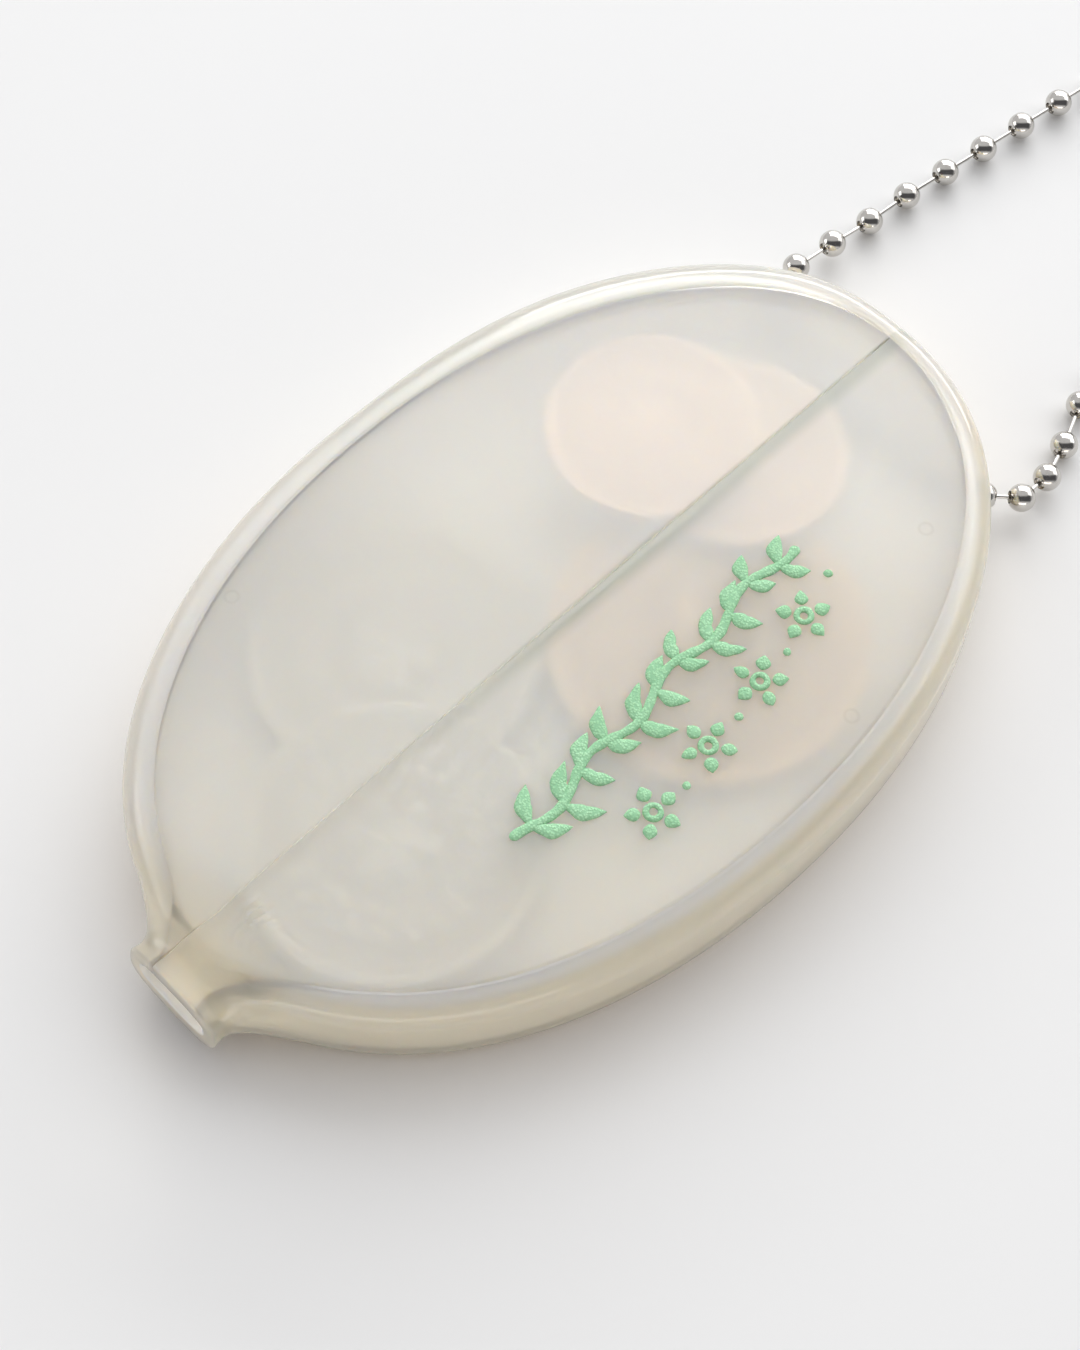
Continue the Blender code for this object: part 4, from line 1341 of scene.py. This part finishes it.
def make_coin(node, slot, spin, metal):
    """A struck coin with a reeded edge and the same design on both faces."""
    low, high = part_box(node)
    centre = (low + high) / 2
    radius, half_thickness = (high.x - low.x) / 2, (high.z - low.z) / 2
    beads = round(2 * math.pi * (radius - COIN_BEAD_INSET) / COIN_BEAD_PITCH)
    turns = np.linspace(0, 2 * math.pi, beads * COIN_SIDES_PER_BEAD, endpoint=False)
    across = np.linspace(COIN_HUB, radius - COIN_EDGE_ROUNDING, COIN_RINGS)
    relief = coin_relief(across, turns, radius, beads)
    reeds = COIN_REED_DEPTH * (0.5 + 0.5 * np.cos(np.arange(len(turns)) * 2 * math.pi / COIN_SIDES_PER_REED))
    rings, raised = [], []
    for distance, rise in zip(across, relief):
        rings.append((np.full(len(turns), distance), half_thickness - COIN_RELIEF * (1 - rise)))
        raised.append(rise)
    for turn in np.linspace(0, math.pi / 2, COIN_EDGE_RINGS + 1)[1:]:
        rings.append((radius - COIN_EDGE_ROUNDING * (1 - math.sin(turn)) - reeds * math.sin(turn),
                      np.full(len(turns), half_thickness - COIN_EDGE_ROUNDING * (1 - math.cos(turn)))))
        raised.append(1 - reeds / COIN_REED_DEPTH * math.sin(turn))
    rings += [(distance, -height) for distance, height in rings[::-1]]
    raised += raised[::-1]
    cosine, sine = np.cos(turns + spin), np.sin(turns + spin)
    points = [np.column_stack((centre.x + distance * cosine, centre.y + distance * sine, centre.z + height))
              for distance, height in rings]
    bm = bmesh.new()
    hub = half_thickness - COIN_RELIEF * (1 - relief[0].max())
    add_rings(bm, points, (centre.x, centre.y, centre.z + hub), (centre.x, centre.y, centre.z - hub))
    name = node.replace("coin_", "struck_")
    coin = new_object(name, finish_mesh(bm, name, COIN_SHARP_ANGLE, COIN_MERGE), metal)
    shares = np.concatenate([np.concatenate(raised), relief[0][:2]]).astype(np.float32)
    coin.data.attributes.new(RELIEF_NAME, "FLOAT", "POINT").data.foreach_set("value", shares)
    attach(coin, node)
    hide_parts(node)


# Raised print

def resampled(path, closed):
    """A path as closely spaced points, closer still towards its ends, with how far along each is."""
    path = np.array(path) * MM
    lengths = np.concatenate(((0,), np.cumsum(np.linalg.norm(np.diff(path, axis=0), axis=1))))
    count = max(int(lengths[-1] / PRINT_STEP), PRINT_FEWEST_POINTS)
    shares = np.linspace(0, 1, count)
    if closed:
        shares = shares[:-1]
    else:
        shares = 0.5 * shares + 0.5 * (0.5 - 0.5 * np.cos(math.pi * shares))
    run = shares * lengths[-1]
    return np.stack([np.interp(run, lengths, path[:, axis]) for axis in (0, 1)], axis=1), run, lengths[-1]


def add_stroke(bm, path, half_width, leaf=False, closed=False):
    """A raised stroke of ink on the right lip; a leaf swells in its middle, a line has round ends."""
    points, run, length = resampled(path, closed)
    phase = points[0].sum() / PRINT_PHASE_LENGTH
    waver = 1
    for depth, period, phases in PRINT_WAVERS:
        waver = waver + depth * np.sin(run / period + phases * phase)
    if closed:
        fullness = np.ones(len(run))
        along = np.roll(points, -1, axis=0) - np.roll(points, 1, axis=0)
    else:
        share = run / length
        to_end = np.clip(np.minimum(run, length - run) / half_width, 0, 1)
        fullness = np.sin(math.pi * share ** 0.8) ** 0.75 if leaf else np.sqrt(1 - (1 - to_end) ** 2)
        fullness = np.maximum(fullness, PRINT_LEAST_FULLNESS)
        along = np.gradient(points, axis=0)
    along /= np.linalg.norm(along, axis=1)[:, None]
    across = np.stack((-along[:, 1], along[:, 0]), axis=1) * (half_width * waver * fullness)[:, None]
    turns = np.linspace(0, math.pi, PRINT_SECTION_POINTS)
    asides = np.concatenate((np.cos(turns), PRINT_SUNK_FOOT[0]))
    rises = np.concatenate((np.sin(turns) ** 0.8, PRINT_SUNK_FOOT[1]))
    plan = points[:, None] + across[:, None] * asides[None, :, None]
    rings = top_surface("right", plan)
    rings[..., 2] += rises[None, :] * PRINT_HEIGHT * np.sqrt(fullness)[:, None]
    if closed:
        add_rings(bm, rings, wrap=True)
    else:
        add_rings(bm, rings, rings[0].mean(axis=0), rings[-1].mean(axis=0))


def ray(start, heading, *distances):
    """Places at distances from start along a heading in degrees."""
    turn = math.radians(heading)
    return [(start[0] + distance * math.cos(turn), start[1] + distance * math.sin(turn))
            for distance in distances]


def midway(first, second):
    return (first[0] + second[0]) / 2, (first[1] + second[1]) / 2


def make_print(ink):
    """A sprig with paired leaves and a row of small blossoms, raised on the right lip."""
    bm = bmesh.new()
    stem_x = np.linspace(*STEM_ENDS, STEM_POINTS)
    stem_y = (STEM_START_Y + STEM_SLOPE * (stem_x - STEM_ENDS[0])
              + STEM_WAVE * np.sin(stem_x * STEM_WAVE_TURN + STEM_WAVE_START))
    add_stroke(bm, list(zip(stem_x, stem_y)), STEM_HALF_WIDTH)
    for index in range(LEAF_PAIRS):
        x = FIRST_LEAF + LEAF_SPACING * index
        foot = (x, np.interp(x, stem_x, stem_y))
        upward = LEAF_HEADING - LEAF_HEADING_STEP * (index % 3)
        size = LEAF_LENGTH - 0.07 * index + 0.3 * math.sin(1.9 * index)
        for heading, length, bend in ((upward, size, LEAF_BEND),
                                      (upward - LEAF_SPREAD, LOWER_LEAF_SHARE * size, -LEAF_BEND)):
            root, tip, middle = ray(foot, heading, LEAF_FOOT, length, length / 2)
            swell = ray(middle, heading + 90, bend * length)[0]
            curve = [root, midway(root, swell), swell, midway(tip, swell), tip]
            add_stroke(bm, curve, LEAF_HALF_BREADTH, leaf=True)
    for index, centre in enumerate(BLOSSOM_CENTRES):
        ring = [ray(centre, 360 * point / (BLOSSOM_RING_POINTS - 1), BLOSSOM_RING)[0]
                for point in range(BLOSSOM_RING_POINTS)]
        add_stroke(bm, ring, BLOSSOM_RING_HALF_WIDTH, closed=True)
        for petal in range(PETALS):
            heading = 360 / PETALS * petal + BLOSSOM_TURN * index
            add_stroke(bm, ray(centre, heading, *PETAL_REACH), PETAL_HALF_BREADTH, leaf=True)
    for centre in DOT_CENTRES:
        add_stroke(bm, ray(centre, DOT_HEADING, -DOT_REACH, DOT_REACH), DOT_HALF_WIDTH)
    mesh = finish_mesh(bm, "raised_print", PRINT_SHARP_ANGLE, PRINT_MERGE)
    raised = new_object("raised_print", mesh, ink)
    bend_with_lip(raised, "right")


# Stage

def make_stage():
    """The plain pale floor."""
    bm = bmesh.new()
    bmesh.ops.create_grid(bm, x_segments=2, y_segments=2, size=FLOOR_HALF_SIZE)
    material, _, shader = node_material("pale_floor")
    set_values(shader, Base_Color=(0.86, 0.86, 0.86, 1), Roughness=0.6, Specular_IOR_Level=0.2)
    floor = new_object("floor", finish_mesh(bm, "floor"), material)
    floor.location.z = -FLOOR_DROP


def add_softbox(name, azimuth, elevation, size, power, colour):
    """A rectangular light that faces the middle of the case."""
    lamp = bpy.data.lights.new(name, "AREA")
    lamp.shape = "RECTANGLE"
    lamp.size, lamp.size_y = size
    lamp.energy = power
    lamp.color = colour
    softbox = bpy.data.objects.new(name, lamp)
    bpy.context.scene.collection.objects.link(softbox)
    turn, rise = math.radians(azimuth), math.radians(elevation)
    outward = Vector((math.cos(rise) * math.cos(turn), math.cos(rise) * math.sin(turn), math.sin(rise)))
    softbox.location = outward * SOFTBOX_DISTANCE
    softbox.rotation_euler = outward.to_track_quat("Z", "Y").to_euler()


def make_light():
    """The softboxes, and a pale world with one dark band for the metal to reflect."""
    for name, settings in SOFTBOXES.items():
        add_softbox(name, *settings)
    world = bpy.data.worlds.new("studio")
    bpy.context.scene.world = world
    world.use_nodes = True
    tree = world.node_tree
    direction = tree.nodes.new("ShaderNodeTexCoord").outputs["Generated"]
    nearness = []
    for axis in (DARK_SIDE, DARK_BAND_AXIS):
        facing = tree.nodes.new("ShaderNodeVectorMath")
        facing.operation = "DOT_PRODUCT"
        tree.links.new(direction, facing.inputs[0])
        facing.inputs[1].default_value = Vector(axis).normalized()
        nearness.append(facing.outputs["Value"])
    dark = times(tree, spread(tree, nearness[0], *DARK_SIDE_EDGE),
                 spread(tree, calculate(tree, "ABSOLUTE", nearness[1]), *DARK_BAND_EDGE))
    colour = blend_colours(tree, dark, STUDIO_TINT, DARK_TINT)
    tree.links.new(colour, tree.nodes["Background"].inputs["Color"])


def make_camera():
    data = bpy.data.cameras.new("photo_camera")
    camera = bpy.data.objects.new("photo_camera", data)
    bpy.context.scene.collection.objects.link(camera)
    azimuth, elevation = math.radians(CAMERA_AZIMUTH), math.radians(CAMERA_ELEVATION)
    right = towards(azimuth)
    back = Vector((math.sin(azimuth) * math.cos(elevation), -math.cos(azimuth) * math.cos(elevation),
                   math.sin(elevation)))
    up = back.cross(right)
    place = CAMERA_AIM + back * CAMERA_DISTANCE
    camera.matrix_world = Matrix.Translation(place) @ Matrix((right, up, back)).transposed().to_4x4()
    data.sensor_width = SENSOR
    data.lens = FOCAL_PIXELS / PHOTO_HEIGHT * SENSOR
    bpy.context.scene.camera = camera


def main():
    bpy.context.scene.view_settings.view_transform = "Standard"
    make_camera()
    make_light()
    make_stage()
    cloud_and_grain = make_cloud_and_grain()
    metal_wear = make_metal_wear()
    milky, inner, rim = (make_vinyl(name, cloud_and_grain) for name in VINYL_FINISHES)
    skin_materials = (milky, make_joint(), inner, rim)
    metals = {name: make_metal(name, metal_wear) for name in METALS}
    case = make_case_skin(skin_materials)
    cut_chain_holes(case)
    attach(case, "case")
    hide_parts("shell")
    for side in SIDES:
        lip = make_lip_skin(side, skin_materials)
        bend_with_lip(lip, side)
        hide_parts(side + "_lip")
    make_print(make_print_ink(cloud_and_grain))
    make_chain(metals["bright_nickel"], metals["shaded_nickel"])
    make_clasp(metals["bright_nickel"])
    for node, slot, spin in COINS:
        make_coin(node, slot, spin, metals["worn_" + slot])


main()
